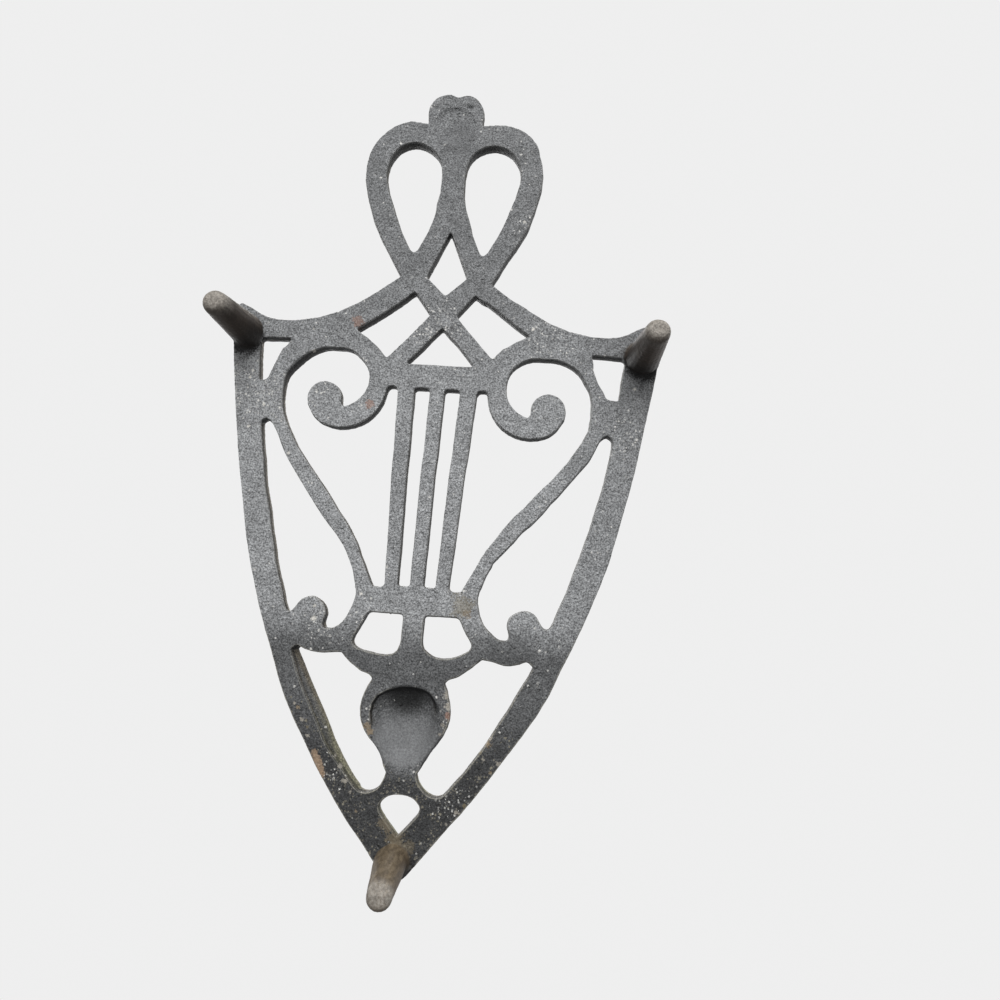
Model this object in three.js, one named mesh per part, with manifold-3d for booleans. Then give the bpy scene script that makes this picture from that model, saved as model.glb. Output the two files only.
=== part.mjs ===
// Cast iron lyre trivet, in millimetres, +Z up.
// It stands on its three feet, with the handle towards +Y. The plate is drawn in plan, from a datum
// on its centre line near the tip foot, and only its +X half is written: the other half is mirrored.

import * as THREE from 'three';
import { mergeVertices } from 'three/addons/utils/BufferGeometryUtils.js';
import Module from 'manifold-3d';

const wasm = await Module();
wasm.setup();

// Driving dimensions of the plate
const PLATE_THICKNESS = 4.2;
const WALL_SWELL = 0.22;
const PARTING_LAND = 0.5;
const TURN_STEP = 10;
const LONGEST_EDGE = 7;
const DRAWING_STEP = 0.25;
const FINIAL_NOTCH = 239.5;

// Driving dimensions of the feet
const FOOT_LENGTH = 23.4;
const FOOT_TIP_RADIUS = 3.7;
const FOOT_ROOT_RADIUS = 5.1;
const FOOT_FLARE = 0.5;
const FOOT_FLARE_HEIGHT = 2.5;
const FOOT_PAD_RADIUS = 1.5;
const FOOT_SIDES = 20;
const SHOULDER_FOOT = { x: 63.3, y: 152.9, rakeX: 1.6, rakeY: -0.2 };
const TIP_FOOT = { x: 0, y: -0.6, rakeX: 0, rakeY: 2.4, girth: 0.9 };

// Driving dimensions of the lyre
const YOKE_UNDERSIDE = 138.9;
const BASE_TOP = 77.6;
const LYRE_FLOOR = 77;
const STRING_TOP = { inner: 7.2, outer: 12.2, centre: 2.2 };
const STRING_FOOT = { inner: 5.7, outer: 9.5, centre: 1.95 };
const RING = { x: 34.3, y: 137, radius: 13.6 };
const VOLUTE = { x: 31, y: 140.8, radius: 9.8 };
const VOLUTE_EYE = { x: 34.7, y: 134, radius: 5.2 };
const VOLUTE_BACK = { x: 29.3, y: 138.2, radius: 13.4 };

// Driving dimensions of the raised and hollow work
const FINIAL_DISH = { y: 229, halfWidth: 6.9, halfLength: 7, rise: 1.1 };
const FINIAL_BOSS = { y: 229.4, halfWidth: 6, halfLength: 6, rise: 1.8 };
const PINEAPPLE = { y: 38.9, halfWidth: 10.6, halfLength: 13.2, rise: 4, taper: 0.25, pinch: 0.25 };
const PINEAPPLE_CUP = {
  y: 38, halfWidth: 9.8, halfLength: 11.1, rise: 4.2, taper: 0.25, pinch: 0.1, fullness: 2.3, tilt: 0.3,
};
const EYE_LIMIT = 0.82;
const EYE = { radius: 2.5, height: 1.2, bedding: 0.4, pitchX: 4.4, pitchY: 2.7 };
const CROWN_LEAF = { length: 10, halfWidth: 2.3, rise: 1.6, rootY: 48.5, fan: [-60, -32, 0, 32, 60] };

const IRON = { color: 0x4b4c4e, roughness: 0.78, metalness: 0.35 };
const WORN_IRON = { color: 0x3a322d, roughness: 0.55, metalness: 0.45 };

// Plan curves

function point([x, y]) {
  return new THREE.Vector2(x, y);
}

// Draws a curve finely and keeps a point wherever it has turned by one step or has run on for long.
function polyline(curve) {
  const steps = Math.max(4, Math.round(curve.getLength() / DRAWING_STEP));
  const fine = curve.getSpacedPoints(steps).map((p) => new THREE.Vector2(p.x, p.y));
  let turned = 0;
  let covered = 0;
  const kept = fine.slice(1, -1).filter((here, i) => {
    const arriving = here.clone().sub(fine[i]);
    const leaving = fine[i + 2].clone().sub(here);
    turned += THREE.MathUtils.radToDeg(arriving.angleTo(leaving));
    covered += arriving.length();
    const keep = turned > TURN_STEP || covered > LONGEST_EDGE;
    if (keep) {
      turned = 0;
      covered = 0;
    }
    return keep;
  });
  return [fine[0], ...kept, fine.at(-1)];
}

// A smooth curve through the given points.
function run(points, closed = false) {
  const knots = points.map(([x, y]) => new THREE.Vector3(x, y, 0));
  const drawn = polyline(new THREE.CatmullRomCurve3(knots, closed, 'centripetal'));
  return closed ? drawn.slice(0, -1) : drawn;
}

function arc({ x, y, radius }, fromDegrees, toDegrees) {
  const from = THREE.MathUtils.degToRad(fromDegrees);
  const to = THREE.MathUtils.degToRad(toDegrees);
  const steps = Math.max(2, Math.round(Math.abs(toDegrees - fromDegrees) / TURN_STEP));
  return new THREE.EllipseCurve(x, y, radius, radius, from, to, to < from).getPoints(steps);
}

// A cut-out with rounded corners: each corner is [x, y, radius, bow of the side that follows it].
function cutOut(corners) {
  const sides = corners.map(([x, y, , bow = 0], i) => {
    const start = point([x, y]);
    const end = point(corners[(i + 1) % corners.length]);
    const across = new THREE.Vector2(start.y - end.y, end.x - start.x).normalize();
    const middle = start.clone().lerp(end, 0.5).addScaledVector(across, 2 * bow);
    return new THREE.QuadraticBezierCurve(start, middle, end);
  });
  return sides.flatMap((side, i) => {
    const length = side.getLength();
    const before = corners[i][2] / length;
    const after = 1 - corners[(i + 1) % corners.length][2] / length;
    const bowed = corners[i][3] ? Math.max(2, Math.round(length / LONGEST_EDGE) + 1) : 1;
    const straight = Array.from({ length: bowed + 1 }, (_, k) => {
      return side.getPointAt(THREE.MathUtils.lerp(before, after, k / bowed));
    });
    const next = sides[(i + 1) % sides.length];
    const turn = new THREE.QuadraticBezierCurve(
      straight.at(-1),
      point(corners[(i + 1) % corners.length]),
      next.getPointAt(corners[(i + 1) % corners.length][2] / next.getLength()),
    );
    return [...straight, ...turn.getPoints(4).slice(1, -1)];
  });
}

function mirrored(points) {
  return points.map((p) => new THREE.Vector2(-p.x, p.y)).reverse();
}

function withoutRepeats(points) {
  return points.filter((p, i) => p.distanceTo(points.at(i - 1)) > 0.05);
}

// Corners of the outlines at which members of the casting meet

const SHOULDER_POINT = [64.4, 163.3];
const STRAP_NOTCH = [14.6, 175.3];
const LOOP_END = [8.7, 229.3];
const BRACKET_END = [38.2, 68.6];
const BRACKET_HEEL = [34.9, 57.1];

// The plate's outer edge, from the tip round the rim, shoulder and handle to the finial's notch

const tipEnd = arc({ x: 0, y: 0.7, radius: 4.4 }, -90, -38);

const rimEdge = run([
  [3.5, -2], [8.4, 4.3], [13.4, 10.7], [21.6, 21.7], [27.9, 30.8], [34.5, 40.4], [38.4, 47.5],
  [42.5, 57.6], [46, 65.4], [50.6, 77.6], [53.9, 87.3], [56.9, 100], [59.4, 110.5], [61.2, 119.5],
  [63.4, 131.5], [65.6, 144.2], [66.8, 153], [67.2, 158], [66.5, 161.7], SHOULDER_POINT,
]);

const shoulderEdge = run([
  SHOULDER_POINT, [61.8, 162.2], [58.6, 160.3], [55, 158.9], [50.5, 158.4], [45, 158.8],
  [38.5, 160.2], [32.5, 162.6], [26, 166.4], [20, 170.9], STRAP_NOTCH,
]);

const loopEdge = run([
  STRAP_NOTCH, [18.7, 182.3], [24.2, 192.5], [26.5, 198.3], [28.2, 205], [28.9, 211.5],
  [28.2, 217.5], [25.9, 223.4], [21.3, 228], [15.6, 230], [11, 229.6], LOOP_END,
]);

const finialEdge = run([LOOP_END, [9, 232.8], [8.6, 236], [6.3, 239.2], [3.2, 240.4], [0, FINIAL_NOTCH]]);

const halfEdge = [...tipEnd, ...rimEdge, ...shoulderEdge, ...loopEdge, ...finialEdge];

// The openings of the +X half

const loopOpening = run([
  [10.4, 184.2], [8.8, 187.4], [6.7, 192.6], [4.7, 199.5], [3.6, 208.5], [4.6, 216.5], [7.7, 220.6],
  [12.8, 222.5], [17.7, 221], [20.9, 217], [22.1, 211.5], [21.1, 204.8], [18.8, 198], [16, 191],
  [13.7, 186.3], [12.4, 184.3], [11.3, 183.7],
], true);

const strapOpening = cutOut([
  [9.7, 170.5, 0.8, -0.5], [27.2, 156.8, 0.8, -1.2], [16.4, 148.1, 1.4], [3.9, 163, 1],
]);

const cornerOpening = cutOut([
  [46.9, 152.7, 0.8], [57.6, 152.3, 1.4], [55.8, 138.2, 1], [52.2, 138.7, 1],
]);

const rimOpening = [
  ...run([
    [53.9, 124], [53.8, 126.2], [52.3, 127.3], [50.3, 125.8], [48.4, 121.6], [45.7, 116.9], [42, 111.7],
    [38, 106], [33, 99.6], [28.7, 94.6], [24.4, 89.6], [20.8, 84.2], [19, 79.8], [18.1, 75.6],
    [19.2, 70.8], [21.4, 66.4], [24.5, 64], [27.2, 63.9],
  ]),
  ...run([
    [27.2, 63.9], [27.6, 65.4], [27, 68.2], [28.2, 71.1], [31.3, 72.8], [34.2, 72], [35.9, 69.8],
    [37.1, 68.2], [38.6, 68], [40.2, 70.6],
  ]),
  ...run([
    [40.2, 70.6], [42.8, 78.3], [45.3, 86.5], [47.8, 94.8], [49.9, 103.1], [51.6, 110],
    [52.9, 117.5], [53.9, 124],
  ]),
];

const stringOpening = cutOut([
  [STRING_TOP.centre, YOKE_UNDERSIDE, 1.2], [STRING_TOP.inner, YOKE_UNDERSIDE, 1.2],
  [STRING_FOOT.inner, BASE_TOP, 0.9], [STRING_FOOT.centre, BASE_TOP, 0.9],
]);

const lyreOpening = [
  ...run([[15.8, 137.7], [15.1, YOKE_UNDERSIDE], [13, YOKE_UNDERSIDE], [STRING_TOP.outer, 137.8]]),
  ...run([[STRING_FOOT.outer, 78], [10.4, LYRE_FLOOR], [13.2, LYRE_FLOOR]]),
  ...run([
    [13.2, LYRE_FLOOR], [15, 80.6], [17.1, 84.7], [20.2, 90], [23.7, 95.4], [31.1, 105], [39.3, 115.1],
    [42.9, 120.2], [45.1, 124], [47, 128.4], [48, 133], [47.9, 137.5],
  ]),
  ...arc(RING, 8, 98),
  ...arc(VOLUTE, 92, 256),
  point([29.5, 132.6]),
  ...arc(VOLUTE_EYE, 165, -5),
  ...run([[39.6, 131.5], [37.6, 128.2], [35.4, 126.3]]),
  ...arc(VOLUTE_BACK, -68, -170),
];

const windowOpening = cutOut([
  [3, 69.6, 1.2], [13.6, 69.7, 1.2], [17.6, 61.1, 2, 0.4], [9.8, 57, 3.4, 0.5], [3.2, 59.4, 2.8],
]);

const sideOpening = [
  ...run([
    BRACKET_HEEL, [29.5, 46.3], [24, 36.3], [20.3, 30.5], [16.4, 25.1], [13.6, 21.2], [11.8, 19.3],
    [9.6, 18.8], [6.8, 19.9], [4.7, 22.4], [3.8, 25],
  ]),
  ...run([
    [3.8, 25], [6.2, 29], [9.7, 33.8], [11.6, 36.6], [12.8, 40], [12.8, 43.6], [11.7, 47.9],
    [10.4, 50.6],
  ]),
  ...run([[10.4, 50.6], [11.5, 51.7], [14.2, 52.7], [17.4, 55], [20.5, 57.7]]),
  ...run([[20.5, 57.7], [24, 57.2], [27.5, 56.9], [30.7, 57.6], [33.2, 58.5], BRACKET_HEEL]),
];

// The openings on the centre line

const diamondOpening = cutOut([[0, 191.7, 1.1], [6.6, 175.7, 1], [0, 169.3, 1], [-6.6, 175.7, 1]]);

const gableOpening = cutOut([[0, 159, 1], [10.9, 146.4, 1.4], [-10.9, 146.4, 1.4]]);

const tipSide = run([
  [0, 19.3], [2.4, 19], [4.5, 17.9], [5.8, 16.2], [5.6, 14.5], [4.1, 12.4], [2.1, 10.2], [0, 7.8],
]);

const tipOpening = [...tipSide, ...mirrored(tipSide)];

// Solids

const UNDERSIDE = FOOT_LENGTH;
const TOP_FACE = FOOT_LENGTH + PLATE_THICKNESS;

function solidOf(geometry) {
  const bare = geometry.clone();
  bare.deleteAttribute('normal');
  bare.deleteAttribute('uv');
  const merged = mergeVertices(bare, 1e-4);
  return new wasm.Manifold(new wasm.Mesh({
    numProp: 3,
    vertProperties: new Float32Array(merged.attributes.position.array),
    triVerts: new Uint32Array(merged.index.array),
  }));
}

function geometryOf(solid) {
  const mesh = solid.getMesh();
  const geometry = new THREE.BufferGeometry();
  geometry.setAttribute('position', new THREE.BufferAttribute(new Float32Array(mesh.vertProperties), 3));
  geometry.setIndex(new THREE.BufferAttribute(new Uint32Array(mesh.triVerts), 1));
  return geometry;
}

// The whole openwork plate. Its walls swell from both faces to a narrow land at half thickness.
function makePlate() {
  const paired = [
    loopOpening, strapOpening, cornerOpening, rimOpening, stringOpening, lyreOpening, windowOpening,
    sideOpening,
  ];
  const openings = [diamondOpening, gableOpening, tipOpening, ...paired, ...paired.map(mirrored)];
  const plan = new THREE.Shape(withoutRepeats([...halfEdge, ...mirrored(halfEdge)]));
  plan.holes = openings.map((opening) => new THREE.Path(withoutRepeats(opening)));
  const wall = (PLATE_THICKNESS - PARTING_LAND) / 2;
  const geometry = new THREE.ExtrudeGeometry(plan, {
    depth: PARTING_LAND,
    bevelThickness: wall,
    bevelSize: WALL_SWELL,
    bevelSegments: 1,
  });
  geometry.translate(0, 0, UNDERSIDE + wall);
  return solidOf(geometry);
}

// How much wider a bulge is at one place along it than an ellipse: more towards the handle.
function widening({ taper = 0, pinch = 0 }, lengthwise) {
  return 1 + taper * lengthwise + pinch * lengthwise ** 3;
}

// A bulge on the centre line, as an egg that lies half in the plate. A tilt makes it higher, or
// deeper, towards the handle.
function bulge(form, z) {
  const { y, halfWidth, halfLength, rise, fullness = 2, tilt = 0 } = form;
  const geometry = new THREE.SphereGeometry(1, 24, 12);
  geometry.rotateX(Math.PI / 2);
  const { position } = geometry.attributes;
  for (let i = 0; i < position.count; i += 1) {
    const across = position.getX(i);
    const lengthwise = position.getY(i);
    const reach = Math.min(1, Math.hypot(across, lengthwise));
    const height = Math.sign(position.getZ(i)) * (1 - reach ** fullness) ** (1 / fullness);
    position.setXYZ(i, across * widening(form, lengthwise), lengthwise, height * (1 + tilt * lengthwise));
  }
  geometry.scale(halfWidth, halfLength, rise);
  geometry.translate(0, y, z);
  return solidOf(geometry);
}

// The finial has a domed boss on top and a shallow dish below.
function dressFinial(plate) {
  return plate.add(bulge(FINIAL_BOSS, TOP_FACE)).subtract(bulge(FINIAL_DISH, UNDERSIDE));
}

// One eye of the pineapple: a low four-sided point that stands square on the bulge.
function pineappleEye(x, y) {
  const { halfWidth, halfLength, rise } = PINEAPPLE;
  const lengthwise = (y - PINEAPPLE.y) / halfLength;
  const width = halfWidth * widening(PINEAPPLE, lengthwise);
  const reach = (x / width) ** 2 + lengthwise ** 2;
  if (reach > EYE_LIMIT) {
    return null;
  }
  const z = rise * Math.sqrt(1 - reach);
  const outwards = new THREE.Vector3(x / width ** 2, lengthwise / halfLength, z / rise ** 2).normalize();
  const eye = new THREE.ConeGeometry(EYE.radius, EYE.height, 4, 1);
  eye.rotateX(Math.PI / 2);
  eye.scale(1, EYE.pitchY * 2 / EYE.pitchX, 1);
  eye.translate(0, 0, EYE.height / 2 - EYE.bedding);
  eye.applyQuaternion(new THREE.Quaternion().setFromUnitVectors(new THREE.Vector3(0, 0, 1), outwards));
  eye.translate(x, y, TOP_FACE + z);
  return solidOf(eye);
}

// The eyes lie in rows, each row shifted by half a pitch.
function pineappleEyes() {
  const rows = Math.floor(PINEAPPLE.halfLength / EYE.pitchY);
  const columns = Math.ceil(PINEAPPLE.halfWidth / EYE.pitchX);
  const eyes = [];
  for (let row = -rows; row <= rows; row += 1) {
    const shift = row % 2 === 0 ? 0 : 0.5;
    for (let column = -columns; column <= columns; column += 1) {
      eyes.push(pineappleEye((column + shift) * EYE.pitchX, PINEAPPLE.y + row * EYE.pitchY));
    }
  }
  return wasm.Manifold.union(eyes.filter((eye) => eye !== null));
}

// The leaves of the pineapple's crown fan out from its shoulder, in low relief.
function crownLeaves() {
  const leaves = CROWN_LEAF.fan.map((degrees) => {
    const leaf = new THREE.SphereGeometry(1, 12, 8);
    leaf.scale(CROWN_LEAF.halfWidth, CROWN_LEAF.length / 2, CROWN_LEAF.rise);
    leaf.translate(0, CROWN_LEAF.length / 2, 0);
    leaf.rotateZ(THREE.MathUtils.degToRad(-degrees));
    leaf.translate(0, CROWN_LEAF.rootY, TOP_FACE);
    return solidOf(leaf);
  });
  return wasm.Manifold.union(leaves);
}

// The pineapple bulges above the plate and is cast hollow from below.
function dressPineapple(plate) {
  const raised = plate.add(bulge(PINEAPPLE, TOP_FACE)).add(pineappleEyes()).add(crownLeaves());
  return raised.subtract(bulge(PINEAPPLE_CUP, UNDERSIDE));
}

// A foot tapers to a rounded tip with a small flat pad, and rakes outwards from its root.
function makeFoot({ x, y, rakeX, rakeY, girth = 1 }) {
  const rounding = FOOT_TIP_RADIUS - FOOT_PAD_RADIUS;
  const roundedTip = new THREE.EllipseCurve(FOOT_PAD_RADIUS, rounding, rounding, rounding, -Math.PI / 2, 0);
  const flareTop = FOOT_ROOT_RADIUS + FOOT_FLARE;
  const flare = new THREE.QuadraticBezierCurve(
    new THREE.Vector2(FOOT_ROOT_RADIUS, FOOT_LENGTH - FOOT_FLARE_HEIGHT),
    new THREE.Vector2(FOOT_ROOT_RADIUS, FOOT_LENGTH),
    new THREE.Vector2(flareTop, FOOT_LENGTH),
  );
  const profile = [
    new THREE.Vector2(0, 0),
    ...roundedTip.getPoints(4),
    ...flare.getPoints(3),
    new THREE.Vector2(0, FOOT_LENGTH),
  ];
  const geometry = new THREE.LatheGeometry(profile, FOOT_SIDES);
  geometry.rotateX(Math.PI / 2);
  geometry.scale(girth, girth, 1);
  const leanX = (-Math.sign(x) * rakeX) / FOOT_LENGTH;
  const leanY = rakeY / FOOT_LENGTH;
  geometry.applyMatrix4(new THREE.Matrix4().set(1, 0, leanX, 0, 0, 1, leanY, 0, 0, 0, 1, 0, 0, 0, 0, 1));
  geometry.translate(x, y, 0);
  return solidOf(geometry);
}

// Members of the casting. Each takes what lies inside its zone in plan, and the next ones share
// what is left, so that they meet face to face. A zone's corners lie in the openings or outside.

const finialZone = [[-9.6, 216.5], [9.6, 216.5], [9.6, 250], [-9.6, 250]];
const stemHalf = [[7, 216.5], [8, 205], [10.8, 186.6], [0, 189.4]];
const loopZone = [[0, 180.5], [40, 180.5], [40, 250], [0, 250]];
const strapHalf = [[25, 181], STRAP_NOTCH, [9.7, 170.3], [13, 160], [16.6, 151], [16.4, 148.7], [8.5, 147.4]];
const yokeHalf = [[8.5, 147.4], [16.4, 148.7], [14.6, 137.9]];
const sideStringZone = [[4.2, 78.2], [11.8, 78.2], [13.5, 90], [13.5, 145], [4.2, 145]];
const centreStringZone = [[-4.2, 78.2], [4.2, 78.2], [4.2, 145], [-4.2, 145]];
const scrollZone = [[14, 139.3], [14, 122], [42, 122], [44, 133], [42, 141], [26, 141], [22.5, 139.3]];
const shoulderZone = [
  [25, 181], STRAP_NOTCH, [9.7, 170.3], [13, 160], [26, 157.5], [47.4, 152.5], [50.5, 149],
  [53, 145.8], [80, 145.8], [80, 181],
];
const armZone = [
  [12.7, 79.2], [23, 79.2], [30, 90], [47, 112], [52.3, 126.5], [54, 139.6], [50, 160], [12.7, 160],
];
const rimZone = [
  [54, 139.6], [52.3, 126.5], [47, 112], [40, 78], BRACKET_END, BRACKET_HEEL, [20, 36], [11.2, 20.4],
  [19, 14.7], [80, 40], [80, 146], [53, 146],
];
const baseZone = [[-21, 69.2], [21, 69.2], [21, 82], [-21, 82]];
const bracketZone = [[21.5, 55], [20.3, 57.8], [17.2, 61.4], [12, 69.2], [24, 82], [42, 82], [42, 55]];
const baseStemZone = [[-4.5, 60.6], [4.5, 60.6], [4.5, 70], [-4.5, 70]];
const crownZone = [[-24, 50.5], [24, 50.5], [24, 64], [-24, 64]];
const pineappleZone = [[-16, 38], [16, 38], [16, 51], [-16, 51]];
const pineapplePointZone = [[-16, 24.9], [16, 24.9], [16, 38], [-16, 38]];
const tipZone = [[-40, -10], [40, -10], [40, 30], [-40, 30]];

function acrossCentre(halfZone) {
  return [...halfZone, ...halfZone.map(([x, y]) => [-x, y]).reverse()];
}

function onLeft(zone) {
  return zone.map(([x, y]) => [-x, y]).reverse();
}

const members = [
  ['finial', finialZone],
  ['handle_stem', acrossCentre(stemHalf)],
  ['handle_loop_right', loopZone],
  ['handle_loop_left', onLeft(loopZone)],
  ['crossed_straps', acrossCentre(strapHalf)],
  ['lyre_yoke', acrossCentre(yokeHalf)],
  ['string_centre', centreStringZone],
  ['string_right', sideStringZone],
  ['string_left', onLeft(sideStringZone)],
  ['lyre_scroll_right', scrollZone],
  ['lyre_scroll_left', onLeft(scrollZone)],
  ['shoulder_right', shoulderZone],
  ['shoulder_left', onLeft(shoulderZone)],
  ['lyre_arm_right', armZone],
  ['lyre_arm_left', onLeft(armZone)],
  ['rim_right', rimZone],
  ['rim_left', onLeft(rimZone)],
  ['lyre_base', baseZone],
  ['base_stem', baseStemZone],
  ['bracket_right', bracketZone],
  ['bracket_left', onLeft(bracketZone)],
  ['pineapple_crown', crownZone],
  ['pineapple', pineappleZone],
  ['pineapple_point', pineapplePointZone],
  ['plate_tip', tipZone],
];

const feet = [
  ['foot_right', SHOULDER_FOOT],
  ['foot_left', { ...SHOULDER_FOOT, x: -SHOULDER_FOOT.x }],
  ['foot_tip', TIP_FOOT],
];

function prism(zone) {
  const geometry = new THREE.ExtrudeGeometry(new THREE.Shape(zone.map(point)), {
    depth: 4 * PLATE_THICKNESS,
    bevelEnabled: false,
  });
  geometry.translate(0, 0, UNDERSIDE - PLATE_THICKNESS);
  return solidOf(geometry);
}

const trivet = new THREE.Group();

function addMesh(name, solid, finish) {
  const mesh = new THREE.Mesh(geometryOf(solid), new THREE.MeshStandardMaterial(finish));
  mesh.name = name;
  mesh.geometry.computeVertexNormals();
  trivet.add(mesh);
}

let uncut = dressPineapple(dressFinial(makePlate()));
members.forEach(([name, zone]) => {
  const [member, rest] = uncut.split(prism(zone));
  addMesh(name, member, IRON);
  uncut = rest;
});
feet.forEach(([name, placing]) => addMesh(name, makeFoot(placing), WORN_IRON));

// The origin lies under the middle of the trivet, on the surface that it stands on.
const bounds = new THREE.Box3().setFromObject(trivet);
trivet.position.y = -(bounds.min.y + bounds.max.y) / 2;
trivet.updateMatrixWorld(true);

export default trivet;
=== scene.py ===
"""A cast iron lyre trivet, dressed over its packed members: one sand-cast skin, and a plain studio."""

import logging
import math
from dataclasses import dataclass, field
from enum import Enum

import bmesh
import bpy
import numpy as np
from mathutils import Matrix, Vector
from mathutils.bvhtree import BVHTree


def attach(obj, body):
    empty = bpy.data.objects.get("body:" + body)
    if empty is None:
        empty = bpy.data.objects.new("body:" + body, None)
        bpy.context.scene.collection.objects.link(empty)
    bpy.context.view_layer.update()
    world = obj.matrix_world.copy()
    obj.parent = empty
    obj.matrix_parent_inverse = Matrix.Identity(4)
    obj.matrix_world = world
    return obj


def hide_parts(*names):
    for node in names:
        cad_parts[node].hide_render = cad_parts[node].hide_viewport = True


MM = 0.001
BODY = "root"

UNDERSIDE = 23.4
TOP_FACE = 27.6
TIP_Y = -118.35
EDGE_WEAR = "edge_wear"

log = logging.getLogger("trivet")
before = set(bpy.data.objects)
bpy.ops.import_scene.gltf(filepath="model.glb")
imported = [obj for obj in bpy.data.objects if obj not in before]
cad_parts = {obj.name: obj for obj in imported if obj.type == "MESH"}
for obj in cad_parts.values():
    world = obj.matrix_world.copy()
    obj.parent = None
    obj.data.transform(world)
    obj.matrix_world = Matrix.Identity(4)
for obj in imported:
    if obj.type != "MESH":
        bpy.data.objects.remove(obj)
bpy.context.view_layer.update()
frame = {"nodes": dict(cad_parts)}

Socket = bpy.types.NodeSocket
Color = tuple[float, float, float, float]
Band = tuple[float, float]
Tug = tuple[float, float, float, float]
Spot = tuple[float, float, float, float]

NOISE_MIDDLE: Band = (0.3, 0.7)


class Slot(Enum):
    """The record's material slots."""

    IRON = "iron"
    WORN_IRON = "worn_iron"


def grey(value: float) -> Color:
    """An iron grey of this linear lightness, a little cool."""
    return (value * 0.98, value, value * 1.02, 1.0)


# Near black, for soot and for painted shade: under the cup's lip, in a band round the walls and under the
# feet's roots.
SOOT_AND_SHADE_BLACK = grey(0.006)
CHIP_WHITE = (0.72, 0.7, 0.65, 1.0)
CHIP_TAN = (0.3, 0.235, 0.16, 1.0)
CHIP_OCHRE = (0.24, 0.2, 0.12, 1.0)
PALE_CRUST = (0.42, 0.39, 0.34, 1.0)
RUST_PINK = (0.33, 0.19, 0.14, 1.0)
RUST_HAZE = (0.2, 0.165, 0.11, 1.0)
EDGE_RUST = (0.36, 0.26, 0.18, 1.0)


def smoothstep(low: float, high: float, value: np.ndarray) -> np.ndarray:
    """Rises smoothly from 0 to 1 between two values."""
    t = np.clip((value - low) / (high - low), 0.0, 1.0)
    return t * t * (3.0 - 2.0 * t)


def new_object(name: str, mesh: bpy.types.Mesh) -> bpy.types.Object:
    """Links a mesh to the scene as an object at the origin.

    Args:
        name: The object's name.
        mesh: Its mesh.

    Returns:
        The new object.
    """
    piece = bpy.data.objects.new(name, mesh)
    bpy.context.scene.collection.objects.link(piece)
    return piece


def settled(piece: bpy.types.Object) -> bpy.types.Object:
    """Turns a piece's live modifiers into plain mesh.

    Args:
        piece: The object whose modifiers are taken up.

    Returns:
        The same object with its evaluated mesh and no modifiers.
    """
    evaluated = piece.evaluated_get(bpy.context.evaluated_depsgraph_get())
    mesh = bpy.data.meshes.new_from_object(evaluated)
    piece.modifiers.clear()
    piece.data = mesh
    return piece


def places_of(mesh: bpy.types.Mesh) -> np.ndarray:
    """A mesh's vertices as rows of x, y and z, in metres."""
    places = np.empty(len(mesh.vertices) * 3)
    mesh.vertices.foreach_get("co", places)
    return places.reshape(-1, 3)


def normals_of(mesh: bpy.types.Mesh) -> np.ndarray:
    """A mesh's vertex normals as rows of x, y and z."""
    normals = np.empty(len(mesh.vertices) * 3)
    mesh.vertex_normals.foreach_get("vector", normals)
    return normals.reshape(-1, 3)


def ends_of(mesh: bpy.types.Mesh) -> np.ndarray:
    """The two vertices of each of a mesh's edges, as two rows of numbers."""
    ends = np.empty(len(mesh.edges) * 2, dtype=np.int32)
    mesh.edges.foreach_get("vertices", ends)
    return ends.reshape(-1, 2).T


def place_all(mesh: bpy.types.Mesh, places: np.ndarray) -> None:
    """Moves a mesh's vertices."""
    mesh.vertices.foreach_set("co", places.ravel())
    mesh.update()


def from_below(places: np.ndarray) -> tuple[np.ndarray, np.ndarray, np.ndarray]:
    """How far places lie to the right, above the tip and above the table, in mm, seen from below."""
    return -places[:, 0] / MM, places[:, 1] / MM - TIP_Y, places[:, 2] / MM


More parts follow.
